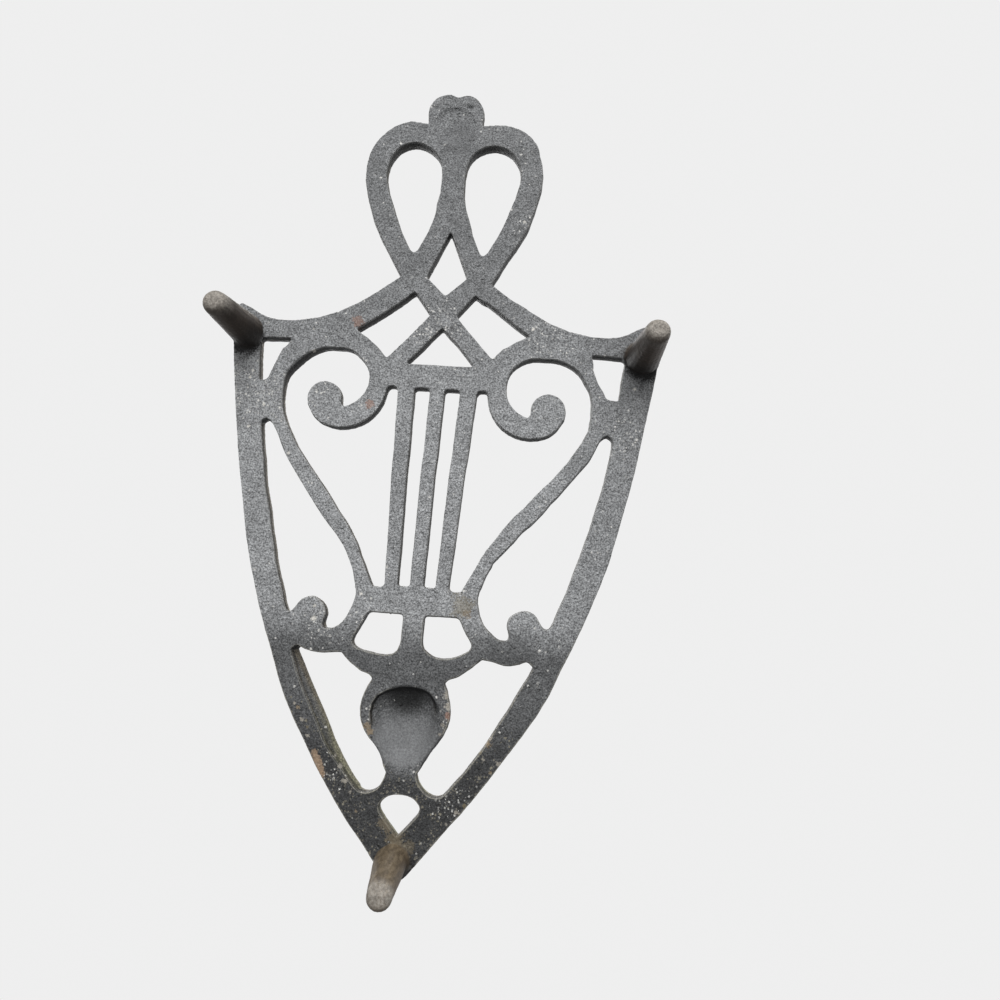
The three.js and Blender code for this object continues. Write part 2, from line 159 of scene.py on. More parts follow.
class NodeBench:
    """A short way to lay nodes in a tree and to join their sockets."""

    def __init__(self, tree: bpy.types.NodeTree) -> None:
        """Starts an empty shader or geometry tree."""
        self.tree = tree
        tree.nodes.clear()

    def feed(self, socket: Socket, value: object) -> None:
        """Joins or sets one input socket.

        Args:
            socket: The input.
            value: Another node's output, or a plain value.
        """
        if isinstance(value, Socket):
            self.tree.links.new(value, socket)
        else:
            socket.default_value = value

    def node(self, kind: str, inputs: dict | None = None, **settings: object) -> bpy.types.Node:
        """Lays one node.

        Args:
            kind: The node's type name.
            inputs: Values or outputs for its inputs, by socket name or number.
            **settings: The node's own properties.

        Returns:
            The node.
        """
        made = self.tree.nodes.new(kind)
        for key, value in settings.items():
            setattr(made, key, value)
        for key, value in (inputs or {}).items():
            self.feed(made.inputs[key], value)
        return made

    def math(self, operation: str, *values: object, clamp: bool = False) -> Socket:
        """A Math node's result, kept between 0 and 1 where it is clamped."""
        inputs = dict(enumerate(values))
        return self.node("ShaderNodeMath", inputs, operation=operation, use_clamp=clamp).outputs[0]

    def product(self, first: Socket, *others: object) -> Socket:
        """A socket times further numbers or sockets.

        Args:
            first: The first factor.
            *others: The other factors, in order.

        Returns:
            The output socket.
        """
        for other in others:
            first = self.math("MULTIPLY", first, other)
        return first

    def rest(self, value: Socket) -> Socket:
        """What a value leaves of 1."""
        return self.math("SUBTRACT", 1.0, value)

    def vector(self, operation: str, *values: object) -> Socket:
        """A Vector Math node's result, which is a number for a length."""
        made = self.node("ShaderNodeVectorMath", dict(enumerate(values)), operation=operation)
        return made.outputs[1] if operation == "LENGTH" else made.outputs[0]

    def scaled(self, vector: Socket, factor: object) -> Socket:
        """A vector times a number."""
        made = self.node("ShaderNodeVectorMath", {0: vector, "Scale": factor}, operation="SCALE")
        return made.outputs[0]

    def rise(self, value: Socket, band: Band, to: Band = (0.0, 1.0)) -> Socket:
        """A smooth step of a value over a band, which may run downwards, to the results at its two ends."""
        inputs = {0: value, 1: band[0], 2: band[1], 3: to[0], 4: to[1]}
        return self.node("ShaderNodeMapRange", inputs, interpolation_type="SMOOTHSTEP").outputs[0]

    def noise(self, place: Socket, size: float, detail: float, roughness: float, seed: float) -> Socket:
        """A noise from 0 to 1: swells of one size, and finer layers as strong as the roughness."""
        inputs = {"Vector": place, "W": seed, "Scale": 1.0 / size, "Detail": detail, "Roughness": roughness}
        return self.node("ShaderNodeTexNoise", inputs, noise_dimensions="4D").outputs[0]

    def cells(self, place: Socket, size: float, seed: float = 0.0) -> bpy.types.Node:
        """A Voronoi node of points scattered this far apart, with its distance and its random colour."""
        inputs = {"Vector": place, "W": seed, "Scale": 1.0 / size}
        return self.node("ShaderNodeTexVoronoi", inputs, voronoi_dimensions="4D")

    def between(self, factor: Socket, first: object, second: object) -> Socket:
        """A mix of two numbers, the second where the factor is 1."""
        return self.node("ShaderNodeMix", {0: factor, 2: first, 3: second}).outputs[0]

    def blend(self, factor: Socket, first: object, second: object) -> Socket:
        """A mix of two colours.

        Args:
            factor: How much of the second, from 0 to 1.
            first: The colour under it.
            second: The colour laid over.

        Returns:
            The output socket.
        """
        made = self.node("ShaderNodeMix", data_type="RGBA")
        for number, value in {0: factor, 6: first, 7: second}.items():
            self.feed(made.inputs[number], value)
        return made.outputs[2]


@dataclass(frozen=True)
class Survey:
    """Where a shaded point lies and which way it faces, as sockets in millimetres, seen from below."""

    place: Socket
    across: Socket
    above: Socket
    height: Socket
    facing: tuple[Socket, Socket, Socket]

    @classmethod
    def made(cls, bench: NodeBench) -> "Survey":
        """Lays the nodes that find the point.

        Args:
            bench: The tree's bench.

        Returns:
            The survey, on Object coordinates.
        """
        place = bench.scaled(bench.node("ShaderNodeTexCoord").outputs["Object"], 1.0 / MM)
        x, y, height = bench.node("ShaderNodeSeparateXYZ", {0: place}).outputs
        normal = bench.node("ShaderNodeNewGeometry").outputs["Normal"]
        facing = bench.node("ShaderNodeSeparateXYZ", {0: normal}).outputs
        across = bench.product(x, -1.0)
        above = bench.math("SUBTRACT", y, TIP_Y)
        return cls(place, across, above, height, tuple(facing))


@dataclass(frozen=True)
class Marks:
    """Stains, chips or flecks of one colour on the underside, seen from below, in millimetres; the black
    collars at the feet's roots are soot with painted contact shadow.

    Each spot gives how far to the right and above the tip it lies, its radius and its strength. The edges
    stray by the ragged share of the radius.
    """

    color: Color
    ragged: float
    spots: tuple[Spot, ...]


MARKS = (
    Marks(CHIP_WHITE, 0.8, (
        (-58, 141.2, 0.5, 1), (-55.3, 140.9, 0.5, 1), (-58.6, 139, 0.55, 1), (-39.4, 148.5, 0.75, 1),
        (-40.5, 156, 0.5, 0.7), (-53.1, 130.6, 0.7, 0.8), (-57.1, 123.2, 0.6, 0.8), (-43.7, 115.6, 0.6, 0.8),
        (-30.1, 66.4, 0.9, 1), (-30.3, 70.1, 0.5, 0.8), (-16.9, 74.6, 0.6, 1), (28.3, 159.9, 0.6, 0.9),
        (60.7, 142.4, 0.6, 0.8), (23.4, 196, 0.6, 0.7), (4.2, 0.5, 0.9, 0.8),
    )),
    Marks(CHIP_OCHRE, 1.2, ((12.9, 73.6, 3.4, 0.4),)),
    Marks(CHIP_TAN, 1, ((14.6, 71, 1.6, 0.5),)),
    Marks(CHIP_TAN, 1.1, ((23.2, 35.6, 1.3, 0.9),)),
    Marks(PALE_CRUST, 1.2, ((26.9, 29.6, 0.9, 0.7), (16.3, 15.7, 0.9, 0.7))),
    Marks(PALE_CRUST, 0.8, ((10.9, 47.6, 1.2, 0.8), (11.9, 44.6, 1.5, 0.9))),
    Marks(RUST_PINK, 0.8, ((-26.8, 159.2, 2, 0.5), (-20.3, 132.6, 1.6, 0.6), (11.9, 41.6, 1.3, 0.7))),
    Marks(CHIP_OCHRE, 0.8, ((21.4, 32.6, 0.8, 0.7), (18.2, 17.9, 0.6, 0.6), (-28.4, 35.6, 0.5, 0.6))),
    Marks(CHIP_TAN, 0.8, (
        (-11.4, 37.4, 1.2, 0.7), (-10.4, 35.7, 1, 0.8), (24.9, 27.2, 0.5, 0.6), (-31.8, 41, 0.7, 0.7),
        (-12, 14, 0.5, 0.6),
    )),
    Marks(EDGE_RUST, 0.5, (
        (-25.7, 28.8, 1.2, 0.85), (-24.9, 27.4, 1.4, 0.85), (-24.2, 26, 1.5, 0.85), (-23.4, 24.6, 1.4, 0.85),
        (-22.6, 23.2, 1.1, 0.85),
    )),
    Marks(PALE_CRUST, 0.8, (
        (24.4, 36.4, 0.7, 1), (22.6, 30.6, 0.5, 0.7), (13.6, 12.6, 0.5, 0.6), (-19.5, 28.8, 0.9, 0.9),
        (-19.2, 30.6, 0.6, 0.8), (-18, 25.7, 0.7, 0.7), (-16.2, 21.8, 0.8, 0.8), (-15, 24.2, 0.6, 0.8),
        (-14.2, 19, 0.6, 0.6), (-28.2, 33.2, 0.6, 0.8), (-30.3, 37.6, 0.6, 0.8), (-33, 42, 0.5, 0.8),
        (10.4, 39, 0.7, 0.7), (9.6, 36.4, 0.6, 0.7), (10.8, 50.6, 0.6, 0.6),
    )),
    Marks(RUST_HAZE, 0.9, ((-3.2, 11, 2.4, 0.6),)),
    Marks(RUST_HAZE, 0.7, ((-0.4, 7.4, 3, 0.65),)),
    Marks(RUST_HAZE, 1, ((3.6, 6, 2, 0.45),)),
    # Black collars at the roots of the feet, here and in the next line: soot with painted contact shadow.
    Marks(SOOT_AND_SHADE_BLACK, 0.35, ((-62.4, 151.8, 7.4, 0.95), (62.9, 150.8, 7.4, 0.95))),
    Marks(SOOT_AND_SHADE_BLACK, 0.4, ((3.4, -1, 5.2, 0.8),)),
    Marks(grey(0.07), 0.3, ((27.5, 61, 8, 0.4),)),
    Marks(grey(0.09), 0.15, ((-0.3, 224.7, 7.4, 0.35),)),
)


@dataclass(frozen=True)
class Scatter:
    """One layer of small flecks: their spacing in millimetres, and their share and radius as parts of it."""

    size: float
    share: float
    radius: float
    seed: float
    ragged: float = 0.75
    fineness: float = 4.5
    faintest: float = 0.35
    shift: tuple[float, float] = (31.7, 17.3)

    def laid(self, bench: NodeBench, at: Survey, color: Socket, paint: Color, thickness: Socket) -> Socket:
        """Lays the flecks over a colour.

        Args:
            bench: The tree's bench.
            at: The shaded point.
            color: The colour under the flecks.
            paint: The flecks' own colour.
            thickness: How thickly they lie, from 0 to 1.

        Returns:
            The colour with its flecks.
        """
        inputs = {"Vector": at.place, "Scale": self.fineness / self.size, "Detail": 3.0}
        ragged = bench.node("ShaderNodeTexNoise", inputs).outputs[1]
        moved = bench.vector("ADD", at.place, bench.scaled(ragged, self.ragged * self.size))
        shifted = bench.vector("ADD", moved, (self.shift[0] * self.seed, self.shift[1] * self.seed, 0.0))
        inputs = {"Vector": shifted, "Scale": 1.0 / self.size}
        cells = bench.node("ShaderNodeTexVoronoi", inputs, voronoi_dimensions="2D").outputs
        lot = bench.node("ShaderNodeSeparateColor", {0: cells["Color"]}).outputs
        chosen = bench.math("LESS_THAN", lot[0], bench.product(thickness, self.share))
        covered = bench.math("LESS_THAN", cells["Distance"], bench.product(lot[1], self.radius))
        fullness = bench.rise(lot[2], (0.0, 1.0), (self.faintest, 1.0))
        return bench.blend(bench.product(chosen, covered, fullness), color, paint)


@dataclass(frozen=True)
class SandCastIron:
    """Bare iron as it came out of the sand: an even grey, darker on the low rims, brown-black on the feet,
    with painted light and shade.

    Where a field fades, its two numbers say where the fading starts and ends, in millimetres.
    """

    name: str
    skin: Color = grey(0.305)
    # Darker towards the tip: partly painted shade.
    low_skin: Color = grey(0.12)
    high_skin: Color = grey(0.185)
    # Near black on the low rims: partly painted shade.
    low_rim_dark: Color = grey(0.05)
    # Paler grey on the cup's lower floor: partly painted light.
    cup_lit_grey: Color = grey(0.17)
    wall: Color = (0.12, 0.104, 0.078, 1.0)
    # Near black on the walls that face the tip: painted shade.
    painted_shade_wall: Color = grey(0.006)
    olive_wall: Color = (0.21, 0.2, 0.135, 1.0)
    fleck: Color = (0.7, 0.69, 0.66, 1.0)
    crust: Color = (0.26, 0.24, 0.19, 1.0)
    worn_edge: Color = (0.42, 0.4, 0.34, 1.0)
    foot: Color = (0.038, 0.029, 0.023, 1.0)
    foot_light: Color = (0.13, 0.115, 0.095, 1.0)
    rusty_foot: Color = (0.085, 0.063, 0.041, 1.0)
    rusty_light: Color = (0.15, 0.118, 0.078, 1.0)
    worn: Color = (0.34, 0.315, 0.28, 1.0)
    roughness: float = 0.6
    metallic: float = 0.1
    specular: float = 0.22
    low_skin_fades: Band = (58.0, 70.0)
    high_skin_fades: Band = (120.0, 185.0)
    low_rim_fades: Band = (50.0, 26.0)
    low_rim_beside: Band = (12.0, 16.0)
    low_rim_at_tip: Band = (26.0, 22.0)
    # Darker towards the right: painted shade.
    right_shade_side: Band = (34.0, 58.0)
    right_shade_tones: Band = (1.0, 0.8)
    foot_starts: Band = (UNDERSIDE, 22.2)
    wall_starts: Band = (23.7, 24.3)
    wall_tilt: Band = (0.75, 0.5)
    wall_cover: float = 0.92
    wall_lit: Band = (-0.45, 0.3)
    olive_side: Band = (-0.2, -0.6)
    # A black band round the walls just behind the underside's edge: painted shade.
    shade_band_starts: Band = (23.9, 24.4)
    shade_band_ends: Band = (25.4, 24.9)
    shade_band_cover: float = 0.75
    cup_centre: tuple[float, float] = (-0.3, 38.4)
    cup_half: tuple[float, float] = (9.4, 11.0)
    cup_narrows: Band = (32.0, 44.0)
    cup_narrower: float = 0.18
    cup_edge: Band = (1.16, 0.96)
    cup_fades: Band = (45.0, 36.0)
    cup_cover: float = 0.8
    cup_evenness: float = 0.6
    lip_shade: tuple[float, float, float] = (-1.0, 47.0, 8.5)
    lip_depth: Band = (24.0, 25.2)
    lip_cover: float = 0.85
    grain_sizes: tuple[float, float, float] = (0.5, 2.4, 9.0)
    grain_middle: Band = (0.34, 0.66)
    grain_tones: Band = (0.42, 1.7)
    patch_tones: Band = (0.84, 1.16)
    cloud_tones: Band = (0.9, 1.1)
    edge_sharp: Band = (0.12, 0.36)
    edge_patches: Band = (0.35, 0.52)
    edge_gaps: Band = (0.3, 1.0)
    edge_fades: Band = (80.0, 50.0)
    edge_covers: Band = (0.14, 0.85)
    dust_clouds: Band = (0.45, 0.65)
    thin_dust: Band = (0.02, 0.16)
    dusty: tuple[tuple[float, float, float], ...] = (
        (-57, 134, 15), (-38, 140, 11), (-28, 64, 9), (-16, 70, 6), (-3, 160, 11),
        (24, 194, 6), (33, 157, 9), (-20, 24, 8), (14, 20, 9), (58, 128, 8),
        (11, 43, 4),
    )
    flecks: tuple[Scatter, ...] = (Scatter(1.8, 0.36, 0.25, 5.0), Scatter(0.9, 0.5, 0.36, 6.0))
    crusts: tuple[Scatter, ...] = (Scatter(1.7, 0.4, 0.26, 7.0), Scatter(0.8, 0.7, 0.4, 8.0))
    crust_patches: Band = (0.45, 0.6)
    marks: tuple[Marks, ...] = MARKS
    mark_depth: Band = (25.4, 24.4)
    streak_stretch: tuple[float, float, float] = (1.0, 1.0, 0.35)
    streak_size: float = 1.1
    streak_middle: Band = (0.35, 0.65)
    streak_span: Band = (0.25, 0.75)
    streak_tones: Band = (0.7, 1.35)
    foot_lit: Band = (0.0, 0.9)
    lit_tones: Band = (0.2, 1.0)
    # Near black under the feet's roots on the side that faces the tip, set by this band and the root bands
    # below: painted shade.
    foot_shaded: Band = (0.35, -0.4)
    rusty_fades: Band = (40.0, 20.0)
    root_fades: Band = (10.0, 20.0)
    root_shade_cover: float = 0.85
    tip_fades: Band = (6.0, 1.0)
    tip_side: Band = (-0.75, 0.0)
    tip_tones: Band = (0.25, 1.0)
    speckle_size: float = 0.7
    speckle_middle: Band = (0.3, 0.66)
    speckle_tones: Band = (0.3, 1.0)
    sand_size: float = 0.8
    pimple_spacing: float = 1.5
    bump: float = 0.8 * MM
    smooth_bump: float = 0.25
    pimple_edge: Band = (0.32, 0.05)
    pimple_height: float = 0.5

    def build(self) -> bpy.types.Material:
        """Makes the node material, on Object coordinates."""
        material = bpy.data.materials.new(self.name)
        material.use_nodes = True
        bench = NodeBench(material.node_tree)
        at = Survey.made(bench)
        fine, middling, wide = self.grain_sizes
        grain = bench.noise(at.place, fine, 3.0, 0.7, seed=3.0)
        patch = bench.noise(at.place, middling, 4.0, 0.6, seed=2.0)
        cloud = bench.noise(at.place, wide, 3.0, 0.55, seed=1.0)
        on_foot = bench.rise(at.height, self.foot_starts)
        upright = bench.rise(bench.math("ABSOLUTE", at.facing[2]), self.wall_tilt)
        on_wall = bench.product(upright, bench.rise(at.height, self.wall_starts))
        cup = self.cup_floor(bench, at)
        low = self.low_rims(bench, at)

        # Darker towards the tip and near black on the low rims: partly painted shade.
        color = bench.blend(bench.rise(at.above, self.low_skin_fades), self.low_skin, self.skin)
        color = bench.blend(bench.rise(at.above, self.high_skin_fades), color, self.high_skin)
        color = bench.blend(low, color, self.low_rim_dark)
        color = bench.blend(bench.product(on_wall, self.wall_cover), color, self.wall_color(bench, at, low))
        # Paler on the cup's lower floor: partly painted light.
        color = bench.blend(bench.product(cup, self.cup_cover), color, self.cup_lit_grey)
        # Near black under the cup's top lip: painted shade.
        under_lip_shade = bench.product(
            self.spot(bench, at, *self.lip_shade), bench.rise(at.height, self.lip_depth), self.lip_cover,
        )
        color = bench.blend(under_lip_shade, color, SOOT_AND_SHADE_BLACK)
        # The strength also darkens the right side: painted shade.
        strength = bench.product(
            bench.rise(grain, self.grain_middle, self.grain_tones),
            bench.rise(patch, NOISE_MIDDLE, self.patch_tones),
            bench.rise(cloud, NOISE_MIDDLE, self.cloud_tones),
            bench.rise(at.across, self.right_shade_side, self.right_shade_tones),
        )
        strength = bench.between(bench.product(cup, self.cup_evenness), strength, 1.0)
        color = bench.scaled(color, strength)

        color = self.worn_edges(bench, at, color, patch)
        flat = bench.rest(on_wall)
        dust = bench.product(self.dust(bench, at, cloud), bench.rest(cup), flat)
        for layer in self.flecks:
            color = layer.laid(bench, at, color, self.fleck, dust)
        crusted = bench.product(low, flat, bench.rise(patch, self.crust_patches))
        for layer in self.crusts:
            color = layer.laid(bench, at, color, self.crust, crusted)
        color = self.marked(bench, at, color)
        color = bench.blend(on_foot, color, self.foot_color(bench, at))

        smooth = bench.math("MAXIMUM", bench.product(cup, self.cup_cover), on_foot)
        shader = bench.node("ShaderNodeBsdfPrincipled", {
            "Base Color": color, "Roughness": self.roughness, "Metallic": self.metallic,
            "Specular IOR Level": self.specular, "Normal": self.relief(bench, at, smooth),
        })
        bench.node("ShaderNodeOutputMaterial", {0: shader.outputs[0]})
        return material

    def low_rims(self, bench: NodeBench, at: Survey) -> Socket:
        """Where the low rims are darker, partly painted shade.

        Args:
            bench: The tree's bench.
            at: The shaded point.

        Returns:
            1 on the darker iron, 0 elsewhere.
        """
        beside = bench.rise(bench.math("ABSOLUTE", at.across), self.low_rim_beside)
        outside = bench.math("MAXIMUM", beside, bench.rise(at.above, self.low_rim_at_tip))
        return bench.product(outside, bench.rise(at.above, self.low_rim_fades))

    def wall_color(self, bench: NodeBench, at: Survey, low: Socket) -> Socket:
        """The walls of the openings: near black where they face the tip, olive on the low left rim, with a
        black band near the underside; the near black and the band are painted shade.

        Args:
            bench: The tree's bench.
            at: The shaded point.
            low: 1 on the darker low rims.

        Returns:
            The colour.
        """
        # Walls that face the tip get near black: painted shade.
        wall = bench.blend(bench.rise(at.facing[1], self.wall_lit), self.painted_shade_wall, self.wall)
        olive = bench.product(low, bench.rise(at.facing[0], self.olive_side))
        wall = bench.blend(olive, wall, self.olive_wall)
        # The black band just behind the underside's edge: painted shade.
        shade_band = bench.product(bench.rise(at.height, self.shade_band_ends), bench.rise(at.height, self.shade_band_starts))
        return bench.blend(bench.product(shade_band, self.shade_band_cover), wall, SOOT_AND_SHADE_BLACK)

    def cup_floor(self, bench: NodeBench, at: Survey) -> Socket:
        """The lower half of the pineapple's cup, where the iron is smoother and paler, the paler tone partly
        painted light where the floor faces the lamp.

        Args:
            bench: The tree's bench.
            at: The shaded point.

        Returns:
            1 on the cup's lower floor, 0 outside.
        """
        away = bench.math("SUBTRACT", at.across, self.cup_centre[0])
        along = bench.math("SUBTRACT", at.above, self.cup_centre[1])
        away = bench.math("POWER", bench.math("DIVIDE", away, self.cup_half[0]), 2.0)
        along = bench.math("POWER", bench.math("DIVIDE", along, self.cup_half[1]), 2.0)
        ring = bench.math("SQRT", bench.math("ADD", away, along))
        ring = bench.math("ADD", ring, bench.rise(at.above, self.cup_narrows, (0.0, self.cup_narrower)))
        return bench.product(bench.rise(ring, self.cup_edge), bench.rise(at.above, self.cup_fades))

    def spot(self, bench: NodeBench, at: Survey, across: float, above: float, radius: float,
             ragged: float = 0.0) -> Socket:
        """A soft round patch in plan, or a ragged one.

        Args:
            bench: The tree's bench.
            at: The shaded point.
            across: How far to the right the patch lies, seen from below.
            above: How far above the tip it lies.
            radius: Its radius, in millimetres.
            ragged: How far its edge strays, as a part of the radius.

        Returns:
            1 inside the patch, 0 outside.
        """
        soft_core, ragged_core = 0.35, 0.6
        broad, fine = (1.3 * radius, 1.2), (0.5, 1.5)
        away = bench.math("POWER", bench.math("SUBTRACT", at.across, across), 2.0)
        along = bench.math("POWER", bench.math("SUBTRACT", at.above, above), 2.0)
        distance = bench.math("SQRT", bench.math("ADD", away, along))
        if not ragged:
            return bench.rise(distance, (radius, soft_core * radius))
        for cell, share in (broad, fine):
            stray = bench.noise(at.place, cell, 3.0, 0.6, seed=across)
            stray = bench.product(bench.math("SUBTRACT", stray, 0.5), 2.0 * share * ragged * radius)
            distance = bench.math("ADD", distance, stray)
        return bench.rise(distance, (radius, ragged_core * radius))

    def dust(self, bench: NodeBench, at: Survey, cloud: Socket) -> Socket:
        """Where the pale flecks gather.

        Args:
            bench: The tree's bench.
            at: The shaded point.
            cloud: A slow noise that keeps the gatherings uneven.

        Returns:
            How thickly the flecks lie, from 0 to 1.
        """
        amount = bench.rise(cloud, self.dust_clouds, self.thin_dust)
        for gathering in self.dusty:
            amount = bench.math("ADD", amount, self.spot(bench, at, *gathering))
        return bench.math("MINIMUM", amount, 1.0)

    def worn_edges(self, bench: NodeBench, at: Survey, color: Socket, patch: Socket) -> Socket:
        """Pales the sharp edges, most of all towards the tip.

        Args:
            bench: The tree's bench.
            at: The shaded point.
            color: The colour so far.
            patch: A noise that breaks the wear up.

        Returns:
            The colour with its worn edges.
        """
        edge = bench.node("ShaderNodeAttribute", attribute_name=EDGE_WEAR).outputs["Fac"]
        broken = bench.rise(patch, self.edge_patches, self.edge_gaps)
        amount = bench.product(bench.rise(edge, self.edge_sharp), broken)
        amount = bench.product(amount, bench.rise(at.above, self.edge_fades, self.edge_covers))
        return bench.blend(amount, color, self.worn_edge)

    def marked(self, bench: NodeBench, at: Survey, color: Socket) -> Socket:
        """Lays the single marks over the underside.

        Args:
            bench: The tree's bench.
            at: The shaded point.
            color: The colour so far.

        Returns:
            The colour with its marks.
        """
        underneath = bench.rise(at.height, self.mark_depth)
        for group in self.marks:
            for across, above, radius, strength in group.spots:
                amount = self.spot(bench, at, across, above, radius, group.ragged)
                color = bench.blend(bench.product(amount, strength, underneath), color, group.color)
        return color

    def foot_color(self, bench: NodeBench, at: Survey) -> Socket:
        """The feet: brown-black, with painted light on the side that faces the handle and painted shade under
        the root on the side that faces the tip, pale at the tips, rusty at the pointed end.

        Args:
            bench: The tree's bench.
            at: The shaded point.

        Returns:
            The colour.
        """
        upwards = at.facing[1]
        drawn = bench.vector("MULTIPLY", at.place, self.streak_stretch)
        streak = bench.noise(drawn, self.streak_size, 4.0, 0.7, seed=8.0)
        streaky = bench.rise(streak, self.streak_middle, self.lit_tones)
        lit = bench.product(bench.rise(upwards, self.foot_lit), streaky)
        rusty = bench.rise(at.above, self.rusty_fades)
        color = bench.blend(rusty, self.foot, self.rusty_foot)
        color = bench.blend(lit, color, bench.blend(rusty, self.foot_light, self.rusty_light))
        # Near black under the root on the side that faces the tip: painted shade.
        root_shade = bench.product(bench.rise(at.height, self.root_fades), bench.rise(upwards, self.foot_shaded))
        color = bench.blend(bench.product(root_shade, self.root_shade_cover), color, SOOT_AND_SHADE_BLACK)
        speckle = bench.noise(at.place, self.speckle_size, 4.0, 0.75, seed=9.0)
        worn = bench.product(
            bench.rise(at.height, self.tip_fades),
            bench.rise(speckle, self.speckle_middle, self.speckle_tones),
            bench.rise(upwards, self.tip_side, self.tip_tones),
        )
        color = bench.blend(worn, color, self.worn)
        return bench.scaled(color, bench.rise(streak, self.streak_span, self.streak_tones))

    def relief(self, bench: NodeBench, at: Survey, smooth: Socket) -> Socket:
        """The fine sand texture, finer than the mesh.

        Args:
            bench: The tree's bench.
            at: The shaded point.
            smooth: 1 where the iron is smoother, on the feet and in the cup.

        Returns:
            The normal's socket.
        """
        sand = bench.noise(at.place, self.sand_size, 4.0, 0.65, seed=11.0)
        pimples = bench.cells(at.place, self.pimple_spacing, seed=12.0).outputs["Distance"]
        height = bench.math("ADD", sand, bench.rise(pimples, self.pimple_edge, (0.0, self.pimple_height)))
        strength = bench.between(smooth, 1.0, self.smooth_bump)
        inputs = {"Strength": strength, "Distance": self.bump, "Height": height}
        return bench.node("ShaderNodeBump", inputs).outputs[0]


@dataclass(frozen=True)
class Stray:
    """Places where the casting strays from its mirrored pattern, seen from below, in millimetres.

    Each tug gives how far to the right and above the tip it acts, and how far it moves the iron to the
    right and up; a tug that moves nothing holds the iron where the pattern has it.
    """

    reach: float
    tugs: tuple[Tug, ...]

    def weigh(self, across: np.ndarray, above: np.ndarray) -> tuple[np.ndarray, np.ndarray, np.ndarray]:
        """Adds up the tugs at each point.

        Args:
            across: How far to the right each point lies.
            above: How far above the tip.

        Returns:
            The weighted moves to the right and up, and the weights.
        """
        right, up, weight = (np.zeros_like(across) for _ in range(3))
        for tug_across, tug_above, tug_right, tug_up in self.tugs:
            distance = (across - tug_across) ** 2 + (above - tug_above) ** 2
            share = np.exp(-distance / self.reach**2)
            right += share * tug_right
            up += share * tug_up
            weight += share
        return right, up, weight


@dataclass(frozen=True)
class FootStray:
    """How far one foot strays at its root and at its tip, seen from below, in millimetres."""

    across: float
    above: float
    root: tuple[float, float]
    tip: tuple[float, float]


